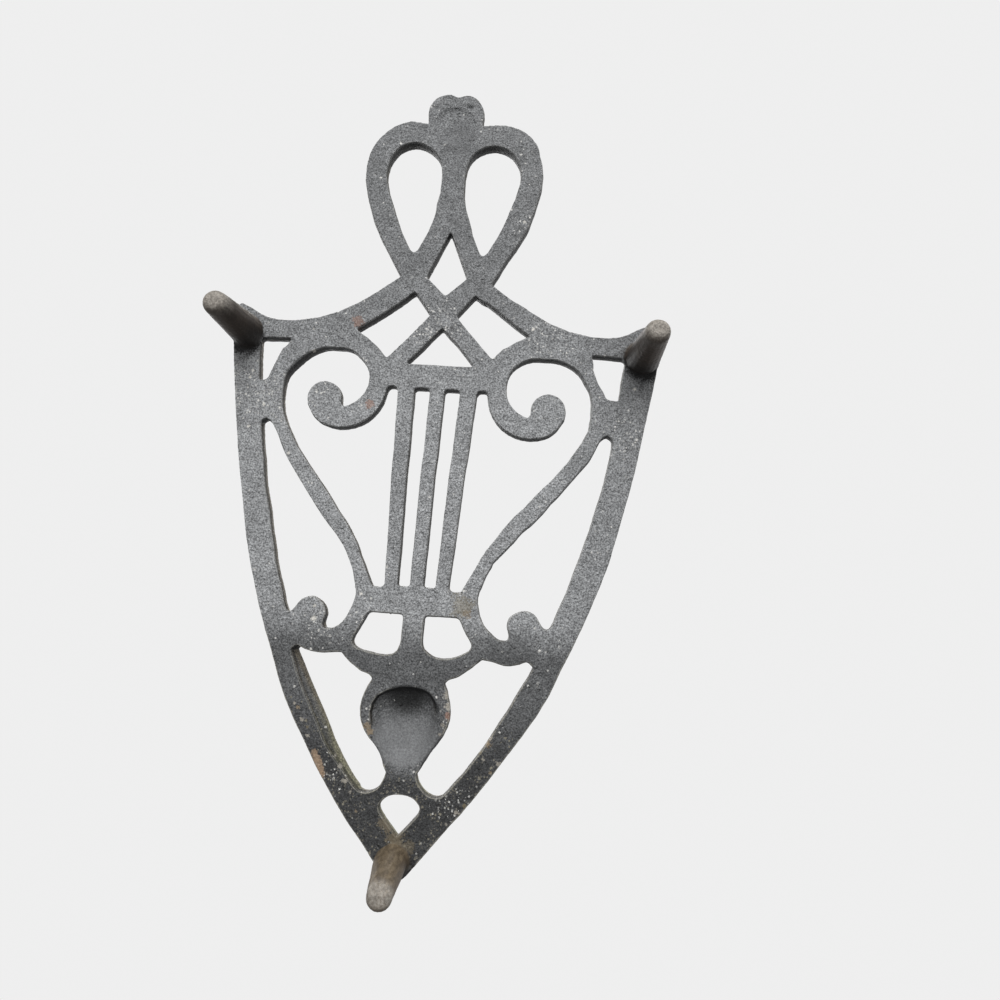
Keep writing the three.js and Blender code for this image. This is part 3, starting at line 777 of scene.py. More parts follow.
@dataclass
class Wander:
    """The casting's own irregular shape: how far each place lies from the mirrored pattern."""

    strays: tuple[Stray, ...] = (
        Stray(7.5, (
            (-5.5, 231, -1.9, 0), (5.5, 231, -1.6, 0), (0, 207, -0.8, 0), (-13.5, 214, -0.85, 0),
            (13.5, 214, -0.85, 0), (-28, 212, -0.7, 0), (28, 212, -0.7, 0), (-26, 190, -0.3, 0),
            (26, 190, -0.3, 0), (0, 183, 0, 0), (-17, 181, 0, 0), (21, 204, -1.1, 0),
            (15.5, 188.5, -0.6, 0), (-22, 196, -0.2, 0),
        )),
        Stray(4.5, (
            (15, 175, -0.4, -1), (20, 171.5, -0.4, -0.8), (28, 168, 0, 0), (-15, 175, 0, 0),
            (-21, 152.5, -0.5, -0.5), (-16.5, 148, -0.3, -0.5), (17, 164.5, 0.6, 0.9), (24, 158.5, 0.6, 0.8),
            (16.5, 148, 0, 1), (-8, 150, 0.3, 0), (8, 151, 0.5, 0), (0, 166, 0, 0),
            (-24, 162, 0, 0), (32, 150, 0, 0), (-32, 150, 0, 0),
        )),
        Stray(3.2, (
            (-50, 145.8, -1.1, 0.4), (-51.2, 142.4, -1.1, 0.2), (-52.5, 139, -1.2, 0), (-56.5, 146, 0, 0),
            (50, 145.5, -0.9, -0.2), (52.5, 139, 0, 0), (56.5, 146, 0, 0),
            (-51, 126.5, 0.3, -1.3), (50.5, 126.5, 0.7, 0),
            (-46.8, 137, 0, 0), (46, 140, 0, 0), (-43.3, 143.5, 0.45, -0.35), (-39, 147.3, 0.1, -0.4),
            (-31, 149.3, 0, -0.25), (-46.5, 131, 0, 0), (-57, 139, 0.3, 0), (57, 139, 0.3, 0),
        )),
        Stray(6, (
            (-66.5, 150, 1, 0.5), (-65, 139, 1.05, 0), (-62.5, 126, 1.05, 0), (-59, 112, 1.05, 0),
            (-55, 99, 1.05, 0), (-52.5, 88, 1.05, 0), (-51, 79.5, 0.8, 0), (-48, 71.5, 0.6, 0),
            (-43.5, 61, 0.4, 0), (-39.5, 51.5, 0.5, 0), (-35.5, 44, 0.3, 0), (-31.5, 38, 0, 0),
            (-28, 32.5, -0.45, 0), (-21, 22.5, -0.8, 0), (-16, 14.5, -0.8, 0), (-8, 3, 0, 0),
            (66, 147, 0.9, -0.3), (63.5, 132, 0.9, 0), (61.5, 121, 1.1, 0), (58, 107, 1.1, 0),
            (54, 92, 1.1, 0), (51.5, 81, 1, 0), (47.5, 70.5, 0.9, 0), (43.5, 61, 0.9, 0),
            (39.5, 51, 0.85, 0), (34.5, 42.5, 0.5, 0), (29.5, 35.5, 0.4, 0), (24.5, 28, 0.6, 0),
            (19.5, 20.5, 0.5, 0), (11, 7, 0, 0),
        )),
        Stray(4.5, (
            (-52, 121, 0.5, 0), (-48, 106, 0.5, 0), (-44, 92, 0.5, 0), (-42, 83, 0.1, 0),
            (-34.5, 61, -0.9, 0), (-32, 55.5, -2.2, 0), (-29, 50, -2.7, 0), (-26, 45.5, -2.8, 0),
            (-23, 40.5, -2.8, 0), (-20, 35, -2.8, 0), (-17, 30, -2.5, 0), (-13.5, 24.5, -1, 0),
            (52, 120, 0.9, 0), (49.5, 112.5, 0.8, 0), (48, 106, 0.55, 0), (44, 94, 0.35, 0),
            (41, 85, 0.3, 0), (38, 74, 0, 0), (34.5, 61, 0, 0), (29, 50, 0, 0),
            (23, 41, -0.35, 0), (17, 32, -0.35, 0), (12.5, 22, -0.4, 0.2),
        )),
        Stray(4, (
            (-44, 112, -0.2, 0), (-30, 97, -0.3, 0), (-20.5, 82, -0.55, 0), (-15, 80.5, -0.8, 0),
            (-23, 93, 0, 0), (-38, 114.5, 0, 0), (20.5, 90.5, -0.9, 0.5), (26.5, 98.5, -0.8, 0.4),
            (32.5, 106, -0.3, 0.2), (39, 115, 0, 0), (15, 80.6, -0.7, 0), (26, 90.5, -0.3, 0),
            (19.2, 79, -0.5, 0), (17.3, 74.5, -0.9, 0), (15, 68.5, -1.1, 0), (15.5, 62, 0, 0),
            (34, 101, -0.1, 0), (-31, 104, 0, 0),
        )),
        Stray(7, (
            (-8, 139, 0.15, 0), (0, 139, 0.15, 0), (8, 139, 0.15, 0), (-7.5, 124, -0.1, 0),
            (0, 124, -0.1, 0), (7.5, 124, -0.1, 0), (-7, 108, -0.5, 0), (0, 108, -0.5, 0),
            (7, 108, -0.5, 0), (-7, 94, -0.55, 0), (0, 94, -0.6, 0), (7, 94, -0.6, 0),
            (-7, 80, -0.8, 0), (0, 80, -0.8, 0), (7, 80, -0.8, 0), (0, 72, -0.85, 0),
        )),
        Stray(3.6, (
            (-14.5, 66.5, -0.8, 0), (-16.6, 61.3, -1.4, -0.8), (-10, 56.8, 0, 0), (-4, 64, -0.8, 0),
            (4, 64, -1, 0), (13.2, 65.5, -1.1, 0), (10, 56.8, 0, 0), (-9, 70, -0.8, 0),
            (9, 70, -0.9, 0), (24, 72.5, -0.5, 0.1), (28.5, 78, 0, 0.4), (34, 73, 0.2, 0),
            (39, 72, 0, 0), (-28.5, 74, 0, 0), (-22, 66, 0, 0), (24, 63, 0, 0),
            (-29, 62, 0, 0), (30, 62, 0, 0),
        )),
        Stray(3.4, (
            (-18, 54, -0.5, -0.4), (-10.6, 50.4, -0.8, 0), (-11.6, 44.5, -1.05, 0), (-10.6, 39, -0.8, 0),
            (-8.5, 34, -0.55, 0), (-5.8, 29.5, -0.45, 0), (-3.8, 25, -0.9, 0), (-24, 57, 0, 0),
            (20.5, 57.5, -0.5, 0.6), (14.5, 54, -0.6, 0.2), (10.6, 50.4, -0.8, 0), (11.6, 44.5, -0.95, 0),
            (10.6, 38.5, -0.95, 0), (8, 33, -0.3, 0), (4.5, 27, 0, 0), (-9.5, 21, 0, 0.4),
            (9.5, 21, 0, 0.4), (0, 39, -0.4, 0), (0, 54, -0.6, 0), (0, 13, 0, 0),
        )),
    )
    upper_strays: tuple[Stray, ...] = (
        Stray(5, (
            (-42.5, 143.5, 0.45, -0.4), (-46.5, 132, 0, 0), (-33, 149, 0, 0), (-45, 154, 0, 0),
            (-34, 61, 0.8, 0.1), (-31, 55, 2.1, 0.15), (-28, 49, 2.6, 0.15), (-24.5, 43, 2.75, 0.2),
            (-21, 37, 2.75, 0.2), (-17.5, 31, 2.5, 0.2), (-13.5, 25.5, 1.1, 0.2),
        )),
    )
    feet: tuple[FootStray, ...] = (
        FootStray(-63.3, 152.9, (1.0, 0.8), (0.3, 0.6)),
        FootStray(63.3, 152.9, (0.8, -0.8), (0.4, -0.55)),
        FootStray(0.0, -0.6, (-1.0, 0.0), (0.15, -0.3)),
    )
    foot_reach: float = 12.0
    plate_below: float = 21.4
    full_weight: float = 0.35

    def move(self, places: np.ndarray) -> np.ndarray:
        """Moves the pattern's points to where the casting has them.

        Args:
            places: The points, in metres in the row frame.

        Returns:
            The moved points.
        """
        across, above, height = from_below(places)
        sums = [stray.weigh(across, above) for stray in self.strays]
        right, up, weight = (sum(column) for column in zip(*sums))
        weight = np.maximum(weight, self.full_weight)
        right, up = right / weight, up / weight
        thickness = smoothstep(UNDERSIDE, TOP_FACE, height)
        for stray in self.upper_strays:
            more_right, more_up, weight = stray.weigh(across, above)
            weight = np.maximum(weight, self.full_weight)
            right += thickness * more_right / weight
            up += thickness * more_up / weight
        on_foot = 1.0 - smoothstep(self.plate_below, UNDERSIDE, height)
        share = np.clip(height / UNDERSIDE, 0.0, 1.0)
        for foot in self.feet:
            near = on_foot * (np.hypot(across - foot.across, above - foot.above) < self.foot_reach)
            right += near * (foot.tip[0] + (foot.root[0] - foot.tip[0]) * share - right)
            up += near * (foot.tip[1] + (foot.root[1] - foot.tip[1]) * share - up)
        moved = places.copy()
        moved[:, 0] -= right * MM
        moved[:, 1] += up * MM
        return moved


@dataclass(frozen=True)
class Blemish:
    """A pit or a pimple of the casting's underside, placed as seen from below, in millimetres."""

    across: float
    above: float
    radius: float
    height: float


BLEMISHES = tuple(Blemish(*spot) for spot in (
    (-44.2, 85.2, 0.9, -0.5), (-3.2, 203.1, 0.8, -0.45), (-22.4, 206.7, 0.8, -0.6), (2.5, 236, 1, -0.9),
    (55.6, 146.4, 1, 0.5), (3.6, 125.6, 0.7, 0.45), (-40.5, 155.4, 0.8, -0.4), (-31.5, 157.2, 0.7, 0.3),
    (-12.5, 172, 0.8, 0.3), (21, 190, 0.8, -0.35), (-47, 128, 1.1, -0.3), (-59, 117, 0.8, 0.3),
    (60, 118, 0.8, -0.3), (-6.5, 71.5, 0.7, -0.3), (9, 58, 0.8, 0.3), (-30, 40, 0.9, -0.35),
    (37, 55, 0.9, -0.3), (-17, 20, 1, -0.4),
))


def set_inputs(piece: bpy.types.Object, tree: bpy.types.NodeTree, values: dict[str, object]) -> None:
    """Adds a Geometry Nodes modifier and sets its inputs by their identifiers.

    Args:
        piece: The object that gets the modifier.
        tree: The geometry tree.
        values: A value for each named input.
    """
    modifier = piece.modifiers.new(tree.name, "NODES")
    modifier.node_group = tree
    for item in tree.interface.items_tree:
        if item.item_type == "SOCKET" and item.in_out == "INPUT" and item.name in values:
            modifier[item.identifier] = values[item.name]


def geometry_tree(name: str, inputs: dict[str, str]) -> bpy.types.NodeTree:
    """Starts a geometry tree with its named inputs and one geometry output.

    Args:
        name: The tree's name.
        inputs: The kind of each named input, after the geometry itself.

    Returns:
        The tree, with no nodes yet.
    """
    tree = bpy.data.node_groups.new(name, "GeometryNodeTree")
    for socket, kind in {"Geometry": "Geometry", **inputs}.items():
        tree.interface.new_socket(socket, in_out="INPUT", socket_type="NodeSocket" + kind)
    tree.interface.new_socket("Geometry", in_out="OUTPUT", socket_type="NodeSocketGeometry")
    return tree


@dataclass
class PineappleWork:
    """The raised eyes of the pineapple, laid over the bulge before the skin is drawn, in millimetres."""

    centre_y: float = -79.45
    half_width: float = 10.6
    half_length: float = 13.2
    rise: float = 4.0
    taper: float = 0.25
    pinch: float = 0.25
    pitch_x: float = 4.4
    pitch_y: float = 2.7
    lap_x: float = 0.52
    lap_y: float = 1.04
    bevel: float = 0.56
    eye_height: float = 1.35
    eye_rings: tuple[Band, ...] = (
        (1.0, -0.7), (0.86, -0.05), (0.62, 0.5), (0.4, 0.72), (0.22, 0.8), (0.08, 1.0),
    )
    limit: float = 0.9

    def eye(self) -> bpy.types.Object:
        """One eye: a low lozenge with sloping sides and a small thorn.

        Returns:
            The object, used only as an instance.
        """
        mesh = bmesh.new()
        b = self.bevel
        corners = ((1, 0), (b, b), (0, 1), (-b, b), (-1, 0), (-b, -b), (0, -1), (b, -b))
        half_x, half_y = self.pitch_x * self.lap_x, self.pitch_y * self.lap_y
        loops = []
        for share, height in self.eye_rings:
            wide, long, z = share * half_x, share * half_y, height * self.eye_height
            loops.append([mesh.verts.new((x * wide, y * long, z)) for x, y in corners])
        for low, high in zip(loops, loops[1:]):
            for i in range(len(corners)):
                j = (i + 1) % len(corners)
                mesh.faces.new((low[i], low[j], high[j], high[i]))
        mesh.faces.new(loops[-1])
        mesh.faces.new(reversed(loops[0]))
        bmesh.ops.scale(mesh, vec=(MM, MM, MM), verts=mesh.verts)
        data = bpy.data.meshes.new("pineapple_eye")
        mesh.to_mesh(data)
        mesh.free()
        return new_object("pineapple_eye", data)

    def bulge_points(self) -> tuple[np.ndarray, np.ndarray]:
        """Where the eyes stand, and which way each faces.

        Returns:
            The points and the outward directions, in millimetres.
        """
        points, outwards = [], []
        rows = int(self.half_length / self.pitch_y)
        columns = math.ceil(self.half_width / self.pitch_x)
        for row in range(-rows, rows + 1):
            for column in range(-columns, columns + 1):
                x = (column + (row % 2) * 0.5) * self.pitch_x
                along = row * self.pitch_y / self.half_length
                width = self.half_width * (1 + self.taper * along + self.pinch * along**3)
                reach = (x / width) ** 2 + along**2
                if reach > self.limit:
                    continue
                z = self.rise * math.sqrt(1 - reach)
                points.append((x, self.centre_y + row * self.pitch_y, z))
                outwards.append((x / width**2, along / self.half_length, z / self.rise**2))
        return np.array(points), np.array(outwards)

    def build(self) -> bpy.types.Object:
        """Lays the eyes over the bulge.

        Returns:
            The object that holds them all as plain mesh.
        """
        points, outwards = self.bulge_points()
        mesh = bpy.data.meshes.new("pineapple_eyes")
        mesh.from_pydata([Vector(point) * MM + Vector((0, 0, TOP_FACE * MM)) for point in points], [], [])
        facing = mesh.attributes.new("outwards", "FLOAT_VECTOR", "POINT")
        facing.data.foreach_set("vector", outwards.astype(np.float32).ravel())
        eyes = new_object("pineapple_eyes", mesh)
        pattern = self.eye()
        tree = geometry_tree("eyes_on_bulge", {"Eye": "Object", "Size": "Float"})
        bench = NodeBench(tree)
        entry = bench.node("NodeGroupInput").outputs
        shape = bench.node("GeometryNodeObjectInfo", {"Object": entry["Eye"]})
        away = bench.node("GeometryNodeInputNamedAttribute", {"Name": "outwards"}, data_type="FLOAT_VECTOR")
        turn = bench.node("FunctionNodeAlignRotationToVector", {"Vector": away.outputs[0]}, axis="Z")
        laid = bench.node("GeometryNodeInstanceOnPoints", {
            "Points": entry["Geometry"], "Instance": shape.outputs["Geometry"],
            "Rotation": turn.outputs[0], "Scale": entry["Size"],
        })
        real = bench.node("GeometryNodeRealizeInstances", {0: laid.outputs[0]})
        dressed = bench.node("GeometryNodeSetMaterial", {"Geometry": real.outputs[0]})
        bench.node("NodeGroupOutput", {0: dressed.outputs[0]})
        set_inputs(eyes, tree, {"Eye": pattern, "Size": 1.0})
        settled(eyes)
        bpy.data.objects.remove(pattern)
        return eyes


@dataclass
class SandSkin:
    """The uneven surface that the sand mould leaves, drawn in the mesh itself."""

    ripple_size: float = 7.0 * MM
    ripple_depth: float = 0.26 * MM
    sand_size: float = 1.3 * MM
    sand_depth: float = 0.22 * MM
    pit_spacing: float = 5.0 * MM
    pit_depth: float = 0.3 * MM
    pit_radius: float = 0.17
    pit_slope: float = 0.08
    roughness: float = 0.6
    seed: float = 4.0

    def tree(self) -> bpy.types.NodeTree:
        """Builds the displacement.

        Returns:
            The geometry tree, with a named input for each size.
        """
        names = ("Ripple Size", "Ripple Depth", "Sand Size", "Sand Depth", "Pit Spacing", "Pit Depth", "Seed")
        tree = geometry_tree("sand_skin", {**dict.fromkeys(names, "Float"), "Material": "Material"})
        bench = NodeBench(tree)
        entry = bench.node("NodeGroupInput").outputs
        place = bench.node("GeometryNodeInputPosition").outputs[0]
        normal = bench.node("GeometryNodeInputNormal").outputs[0]

        def swell(size: str, depth: str, detail: float) -> Socket:
            """One layer of bumps.

            Args:
                size: The input that holds the bumps' size.
                depth: The input that holds their depth.
                detail: How many finer layers are added.

            Returns:
                The layer's height.
            """
            near = bench.scaled(place, bench.math("DIVIDE", 1.0, entry[size]))
            value = bench.noise(near, 1.0, detail, self.roughness, seed=entry["Seed"])
            return bench.product(bench.math("SUBTRACT", value, 0.5), entry[depth])

        ripples = swell("Ripple Size", "Ripple Depth", 1.0)
        height = bench.math("ADD", ripples, swell("Sand Size", "Sand Depth", 3.0))
        spread = bench.scaled(place, bench.math("DIVIDE", 1.0, entry["Pit Spacing"]))
        pits = bench.cells(spread, 1.0, seed=entry["Seed"]).outputs
        lot = bench.node("ShaderNodeSeparateXYZ", {0: pits["Color"]}).outputs
        inside = bench.math("SUBTRACT", bench.product(lot[0], self.pit_radius), pits["Distance"])
        raised = bench.product(bench.math("LESS_THAN", lot[1], 0.5), 2.0)
        sign = bench.math("SUBTRACT", raised, 1.0)
        dip = bench.product(bench.rise(inside, (0.0, self.pit_slope)), sign, entry["Pit Depth"])
        offset = bench.scaled(normal, bench.math("ADD", height, dip))
        moved = bench.node("GeometryNodeSetPosition", {"Geometry": entry["Geometry"], "Offset": offset})
        real = bench.node("GeometryNodeRealizeInstances", {0: moved.outputs[0]})
        inputs = {"Geometry": real.outputs[0], "Material": entry["Material"]}
        dressed = bench.node("GeometryNodeSetMaterial", inputs)
        bench.node("NodeGroupOutput", {0: dressed.outputs[0]})
        return tree

    def lay(self, piece: bpy.types.Object, material: bpy.types.Material) -> None:
        """Puts the uneven surface on a piece.

        Args:
            piece: The object to roughen.
            material: The material that the tree sets.
        """
        set_inputs(piece, self.tree(), {
            "Ripple Size": self.ripple_size, "Ripple Depth": self.ripple_depth,
            "Sand Size": self.sand_size, "Sand Depth": self.sand_depth,
            "Pit Spacing": self.pit_spacing, "Pit Depth": self.pit_depth,
            "Seed": self.seed, "Material": material,
        })
        settled(piece)


@dataclass
class CupLip:
    """The lip of the pineapple's cup, rounded except under the crown, where it stays crisp."""

    centre_above: float = 37.6
    half_width: float = 9.4
    half_length: float = 11.0
    passes: int = 120
    starts: Band = (0.55, 0.8)
    ends: Band = (1.02, 1.16)
    crisp: Band = (41.0, 45.5)
    crispness: float = 0.75
    deepest: float = 26.6
    reach: float = 1.3
    reach_height: float = 27.4

    def ease(self, mesh: bpy.types.Mesh) -> None:
        """Rounds the lip.

        Args:
            mesh: The skin.
        """
        places = places_of(mesh)
        across, above, height = from_below(places)
        ring = np.hypot(across / self.half_width, (above - self.centre_above) / self.half_length)
        amount = smoothstep(*self.starts, ring) * (1.0 - smoothstep(*self.ends, ring))
        amount *= 1.0 - self.crispness * smoothstep(*self.crisp, above)
        amount *= height < self.deepest
        near = np.flatnonzero((ring < self.reach) & (height < self.reach_height))
        number = np.full(len(places), -1)
        number[near] = np.arange(len(near))
        first, second = number[ends_of(mesh)]
        inside = (first >= 0) & (second >= 0)
        first, second = first[inside], second[inside]
        local, share, count = places[near], amount[near][:, None], len(near)
        links = np.maximum(np.bincount(first, minlength=count) + np.bincount(second, minlength=count), 1)
        for _ in range(self.passes):
            mean = np.stack([
                np.bincount(first, local[second, axis], count)
                + np.bincount(second, local[first, axis], count)
                for axis in range(3)
            ], axis=1) / links[:, None]
            local += (mean - local) * share
        places[near] = local
        place_all(mesh, places)


@dataclass
class Casting:
    """The whole iron casting as one skin, divided again into its members."""

    voxel: float = 0.26 * MM
    smoothing: int = 1
    softness: float = 0.5
    wear_scale: float = 3.0
    wear_blurs: int = 2
    pit_depths: Band = (24.4, 26.4)
    merge_distance: float = 0.001 * MM
    feet: tuple[str, ...] = ("foot_right", "foot_left", "foot_tip")
    wander: Wander = field(default_factory=Wander)
    lip: CupLip = field(default_factory=CupLip)
    blemishes: tuple[Blemish, ...] = BLEMISHES
    sand: SandSkin = field(default_factory=SandSkin)
    pineapple: PineappleWork = field(default_factory=PineappleWork)

    def gathered(self) -> bpy.types.Object:
        """Joins a merged copy of every member.

        Returns:
            One object that holds all the solids.
        """
        whole = bmesh.new()
        for node in frame["nodes"].values():
            part = bmesh.new()
            part.from_mesh(node.data)
            bmesh.ops.remove_doubles(part, verts=part.verts, dist=self.merge_distance)
            copy = bpy.data.meshes.new("copy")
            part.to_mesh(copy)
            part.free()
            whole.from_mesh(copy)
            bpy.data.meshes.remove(copy)
        eyes = self.pineapple.build()
        whole.from_mesh(eyes.data)
        bpy.data.objects.remove(eyes)
        mesh = bpy.data.meshes.new("casting")
        whole.to_mesh(mesh)
        whole.free()
        return new_object("casting", mesh)

    def skinned(self) -> bpy.types.Object:
        """Draws one unbroken skin over all the members.

        Returns:
            The skin, with soft edges and no seams.
        """
        casting = self.gathered()
        remesh = casting.modifiers.new("skin", "REMESH")
        remesh.mode = "VOXEL"
        remesh.voxel_size = self.voxel
        remesh.use_smooth_shade = True
        smooth = casting.modifiers.new("soft_edges", "SMOOTH")
        smooth.factor = self.softness
        smooth.iterations = self.smoothing
        return settled(casting)

    def member_of(self, mesh: bpy.types.Mesh) -> np.ndarray:
        """Finds the member that each face of the skin belongs to.

        Args:
            mesh: The skin, before it strays from the pattern.

        Returns:
            The number of each face's member, in the order of the frame's nodes.
        """
        centres = np.empty(len(mesh.polygons) * 3)
        mesh.polygons.foreach_get("center", centres)
        vertices, triangles, owners = [], [], []
        for number, node in enumerate(frame["nodes"].values()):
            node.data.calc_loop_triangles()
            start = len(vertices)
            vertices.extend(vertex.co[:] for vertex in node.data.vertices)
            corners = [tuple(start + corner for corner in tri.vertices) for tri in node.data.loop_triangles]
            triangles.extend(corners)
            owners.extend([number] * len(corners))
        tree = BVHTree.FromPolygons(vertices, triangles)
        nearest = [tree.find_nearest(Vector(centre))[2] for centre in centres.reshape(-1, 3)]
        return np.array(owners)[np.array(nearest)]

    def build(self, finishes: dict[Slot, bpy.types.Material]) -> list[bpy.types.Object]:
        """Makes the finished members.

        Args:
            finishes: The material for each slot.

        Returns:
            One piece for each member.
        """
        skin = self.skinned()
        mesh = skin.data
        log.info("skin of %d faces", len(mesh.polygons))
        owners = self.member_of(mesh)
        place_all(mesh, self.wander.move(places_of(mesh)))
        self.lip.ease(mesh)
        wear = self.edge_wear(mesh)
        self.sand.lay(skin, finishes[Slot.IRON])
        self.pitted(skin.data)
        pieces = self.divided(skin.data, owners, wear, finishes)
        bpy.data.objects.remove(skin)
        return pieces

    def edge_wear(self, mesh: bpy.types.Mesh) -> np.ndarray:
        """Finds the sharp outward edges, which wear first.

        Args:
            mesh: The skin, before it is roughened.

        Returns:
            How sharp the skin is at each vertex, from 0 where it is flat or hollow to 1.
        """
        places, normals = places_of(mesh), normals_of(mesh)
        first, second = ends_of(mesh)
        count = len(places)
        links = np.bincount(first, minlength=count) + np.bincount(second, minlength=count)

        def gathered(values: np.ndarray, others: np.ndarray) -> np.ndarray:
            """The mean over each vertex's neighbours of one value from each end of every edge."""
            total = np.bincount(first, values, count) + np.bincount(second, others, count)
            return total / np.maximum(links, 1)

        along = places[second] - places[first]
        length = np.maximum(np.linalg.norm(along, axis=1), 1e-9)
        fall = -(along * normals[first]).sum(axis=1) / length
        rise = (along * normals[second]).sum(axis=1) / length
        sharp = gathered(fall, rise)
        for _ in range(self.wear_blurs):
            sharp = gathered(sharp[second], sharp[first])
        return np.clip(sharp * self.wear_scale, 0.0, 1.0)

    def pitted(self, mesh: bpy.types.Mesh) -> None:
        """Sinks the pits and raises the pimples of the underside.

        Args:
            mesh: The roughened skin.
        """
        places = places_of(mesh)
        across, above, height = from_below(places)
        under = 1.0 - smoothstep(*self.pit_depths, height)
        for blemish in self.blemishes:
            distance = (across - blemish.across) ** 2 + (above - blemish.above) ** 2
            places[:, 2] -= under * np.exp(-distance / blemish.radius**2) * blemish.height * MM
        place_all(mesh, places)

    def divided(self, mesh: bpy.types.Mesh, owners: np.ndarray, wear: np.ndarray,
                finishes: dict[Slot, bpy.types.Material]) -> list[bpy.types.Object]:
        """Divides the skin into its members and closes each where it meets the next.

        Args:
            mesh: The whole skin.
            owners: The number of each face's member.
            wear: How worn the skin is at each vertex.
            finishes: The material for each slot.

        Returns:
            The pieces.
        """
        places, normals = places_of(mesh), normals_of(mesh)
        corners = np.empty(len(mesh.loops), dtype=np.int32)
        mesh.loops.foreach_get("vertex_index", corners)
        quads = corners.reshape(-1, 4)
        pieces = []
        for number, name in enumerate(frame["nodes"]):
            faces = quads[owners == number]
            used, renumbered = np.unique(faces, return_inverse=True)
            slot = Slot.WORN_IRON if name in self.feet else Slot.IRON
            piece = self.closed(name, places[used], renumbered.reshape(-1, 4), normals[used])
            worn = piece.data.attributes.new(EDGE_WEAR, "FLOAT", "POINT")
            worn.data.foreach_set("value", wear[used].astype(np.float32))
            piece.data.materials.append(finishes[slot])
            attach(piece, BODY)
            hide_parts(name)
            log.info("%s: %d faces", piece.name, len(piece.data.polygons))
            pieces.append(piece)
        return pieces

    def closed(self, name: str, places: np.ndarray, faces: np.ndarray,
               normals: np.ndarray) -> bpy.types.Object:
        """One member with the shading of the whole skin.

        Args:
            name: The member's name.
            places: Its vertices.
            faces: Its faces.
            normals: The whole skin's normal at each vertex.

        Returns:
            The piece, closed where it meets its neighbours.
        """
        mesh = bpy.data.meshes.new("cast_" + name)
        mesh.from_pydata(places, [], faces)
        edit = bmesh.new()
        edit.from_mesh(mesh)
        rim = [edge for edge in edit.edges if edge.is_boundary]
        caps = bmesh.ops.holes_fill(edit, edges=rim, sides=0)["faces"]
        bmesh.ops.triangulate(edit, faces=caps)
        edit.to_mesh(mesh)
        edit.free()
        mesh.shade_smooth()
        mesh.normals_split_custom_set_from_vertices(normals.astype(np.float32))
        return new_object("cast_" + name, mesh)


@dataclass(frozen=True)
class PhotoStation:
    """Where the photograph was taken from: under the trivet, near its middle, in millimetres."""

    place: tuple[float, float, float] = (-31.2, -50.9, -198.2)
    aim: tuple[float, float, float] = (-22.0, -13.0, 23.4)
    roll: float = 4.2
    lens: float = 27.0
    sensor: float = 36.0
    clip: Band = (5 * MM, 20.0)

    def set_up(self) -> None:
        """Makes the camera and sets it as the scene's own."""
        data = bpy.data.cameras.new("photo_camera")
        data.lens = self.lens
        data.sensor_width = self.sensor
        data.clip_start, data.clip_end = self.clip
        camera = bpy.data.objects.new("photo_camera", data)
        bpy.context.scene.collection.objects.link(camera)
        place = Vector(self.place) * MM
        forward = (Vector(self.aim) * MM - place).normalized()
        right = forward.cross(Vector((0, 1, 0))).normalized()
        level = Matrix((right, right.cross(forward), -forward)).transposed()
        turned = level @ Matrix.Rotation(math.radians(self.roll), 3, "Z")
        camera.matrix_world = Matrix.Translation(place) @ turned.to_4x4()
        bpy.context.scene.camera = camera


@dataclass(frozen=True)
class Lamp:
    """One soft lamp that faces the trivet: its place and width in metres, and its power in watts."""

    name: str
    place: tuple[float, float, float]
    size: float
    power: float

    def hang(self) -> None:
        """Makes the lamp."""
        data = bpy.data.lights.new(self.name, "AREA")
        data.size = self.size
        data.energy = self.power
        lamp = bpy.data.objects.new(self.name, data)
        lamp.location = self.place
        lamp.rotation_euler = (-Vector(self.place)).to_track_quat("-Z", "Y").to_euler()
        lamp.visible_camera = False
        bpy.context.scene.collection.objects.link(lamp)


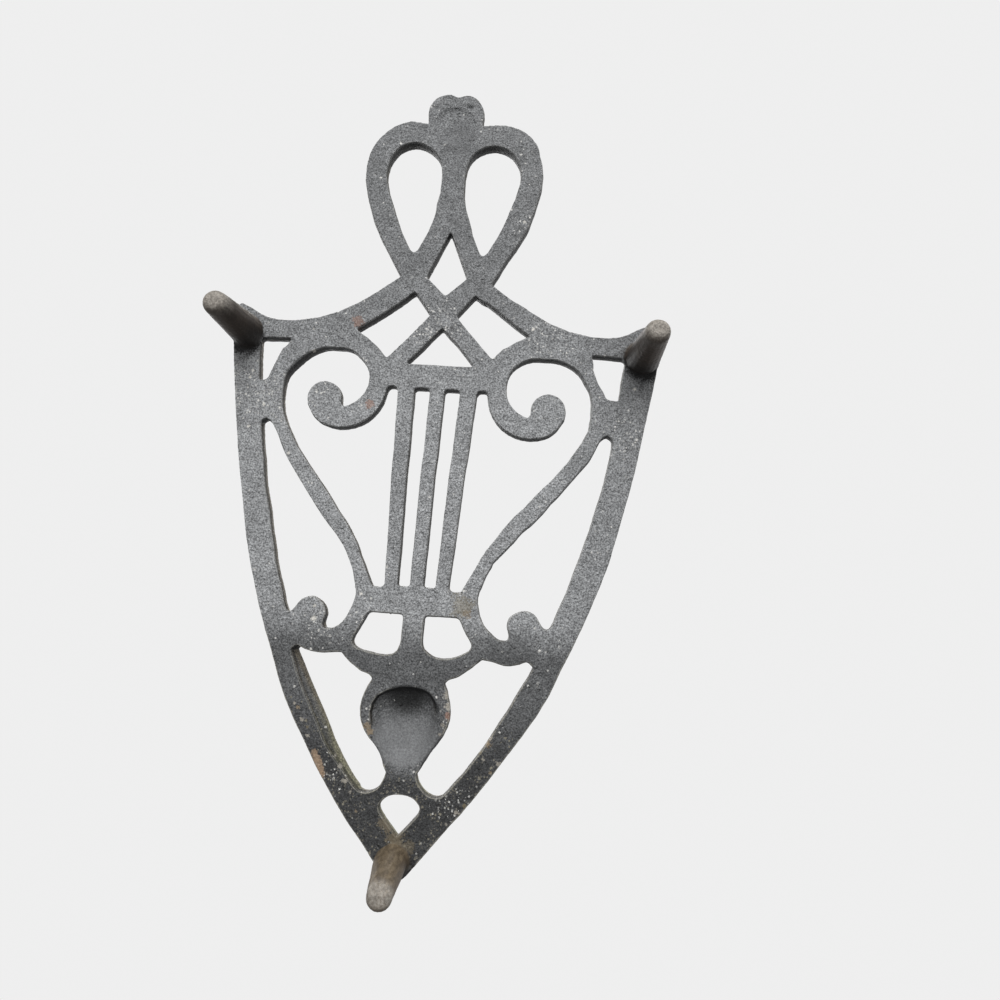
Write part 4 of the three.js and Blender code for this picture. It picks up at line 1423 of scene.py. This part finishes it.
@dataclass
class Studio:
    """A pale floor that shows only from above, a pale surround, and soft lamps above and below."""

    background: float = 0.86
    surround: float = 0.11
    floor_color: Color = (0.8, 0.8, 0.79, 1.0)
    floor_roughness: float = 0.9
    floor_half: float = 6.0
    floor_fades: Band = (0.75, 0.28)
    lamps: tuple[Lamp, ...] = (
        Lamp("key_below", (-0.1, 1.1, -1.05), 1.3, 27.0),
        Lamp("fill_below", (0.35, 0.35, -1.3), 1.2, 5.0),
        Lamp("key_above", (0.4, 0.35, 0.95), 0.8, 8.5),
        Lamp("fill_above", (-0.8, 0.3, 0.6), 0.9, 4.0),
    )

    def build(self) -> None:
        """Makes the floor, the world and the lamps."""
        self.floor()
        self.world()
        for lamp in self.lamps:
            lamp.hang()

    def floor(self) -> None:
        """A floor at the feet, there only for what looks down at it."""
        edit = bmesh.new()
        bmesh.ops.create_grid(edit, x_segments=1, y_segments=1, size=self.floor_half)
        mesh = bpy.data.meshes.new("floor")
        edit.to_mesh(mesh)
        edit.free()
        material = bpy.data.materials.new("pale_floor")
        material.use_nodes = True
        bench = NodeBench(material.node_tree)
        seen_under = bench.node("ShaderNodeNewGeometry").outputs["Backfacing"]
        seen = bench.node("ShaderNodeLightPath").outputs["Is Camera Ray"]
        out = bench.vector("LENGTH", bench.node("ShaderNodeTexCoord").outputs["Object"])
        shown = bench.product(seen, bench.rest(seen_under), bench.rise(out, self.floor_fades))
        inputs = {"Base Color": self.floor_color, "Roughness": self.floor_roughness}
        paint = bench.node("ShaderNodeBsdfPrincipled", inputs)
        clear = bench.node("ShaderNodeBsdfTransparent")
        mixed = bench.node("ShaderNodeMixShader", {0: shown, 1: clear.outputs[0], 2: paint.outputs[0]})
        bench.node("ShaderNodeOutputMaterial", {0: mixed.outputs[0]})
        mesh.materials.append(material)
        new_object("floor", mesh)

    def world(self) -> None:
        """A pale background with a plain, weaker light on the object."""
        world = bpy.data.worlds.new("studio")
        world.use_nodes = True
        bench = NodeBench(world.node_tree)
        path = bench.node("ShaderNodeLightPath").outputs
        seen = bench.math("ADD", path["Is Camera Ray"], path["Is Glossy Ray"], clamp=True)
        seen = bench.math("ADD", seen, path["Is Transmission Ray"], clamp=True)
        strength = bench.between(seen, self.surround, self.background)
        light = bench.node("ShaderNodeBackground", {0: (1.0, 1.0, 1.0, 1.0), 1: strength})
        bench.node("ShaderNodeOutputWorld", {0: light.outputs[0]})
        bpy.context.scene.world = world


def main() -> None:
    """Builds the trivet, its studio and its camera."""
    logging.basicConfig(level=logging.INFO, format="%(name)s: %(message)s")
    bpy.context.scene.view_settings.view_transform = "Standard"
    PhotoStation().set_up()
    finishes = {
        Slot.IRON: SandCastIron("sand_cast_iron").build(),
        Slot.WORN_IRON: SandCastIron("worn_foot_iron").build(),
    }
    pieces = Casting().build(finishes)
    Studio().build()
    log.info("%d pieces", len(pieces))


if __name__ == "__main__":
    main()
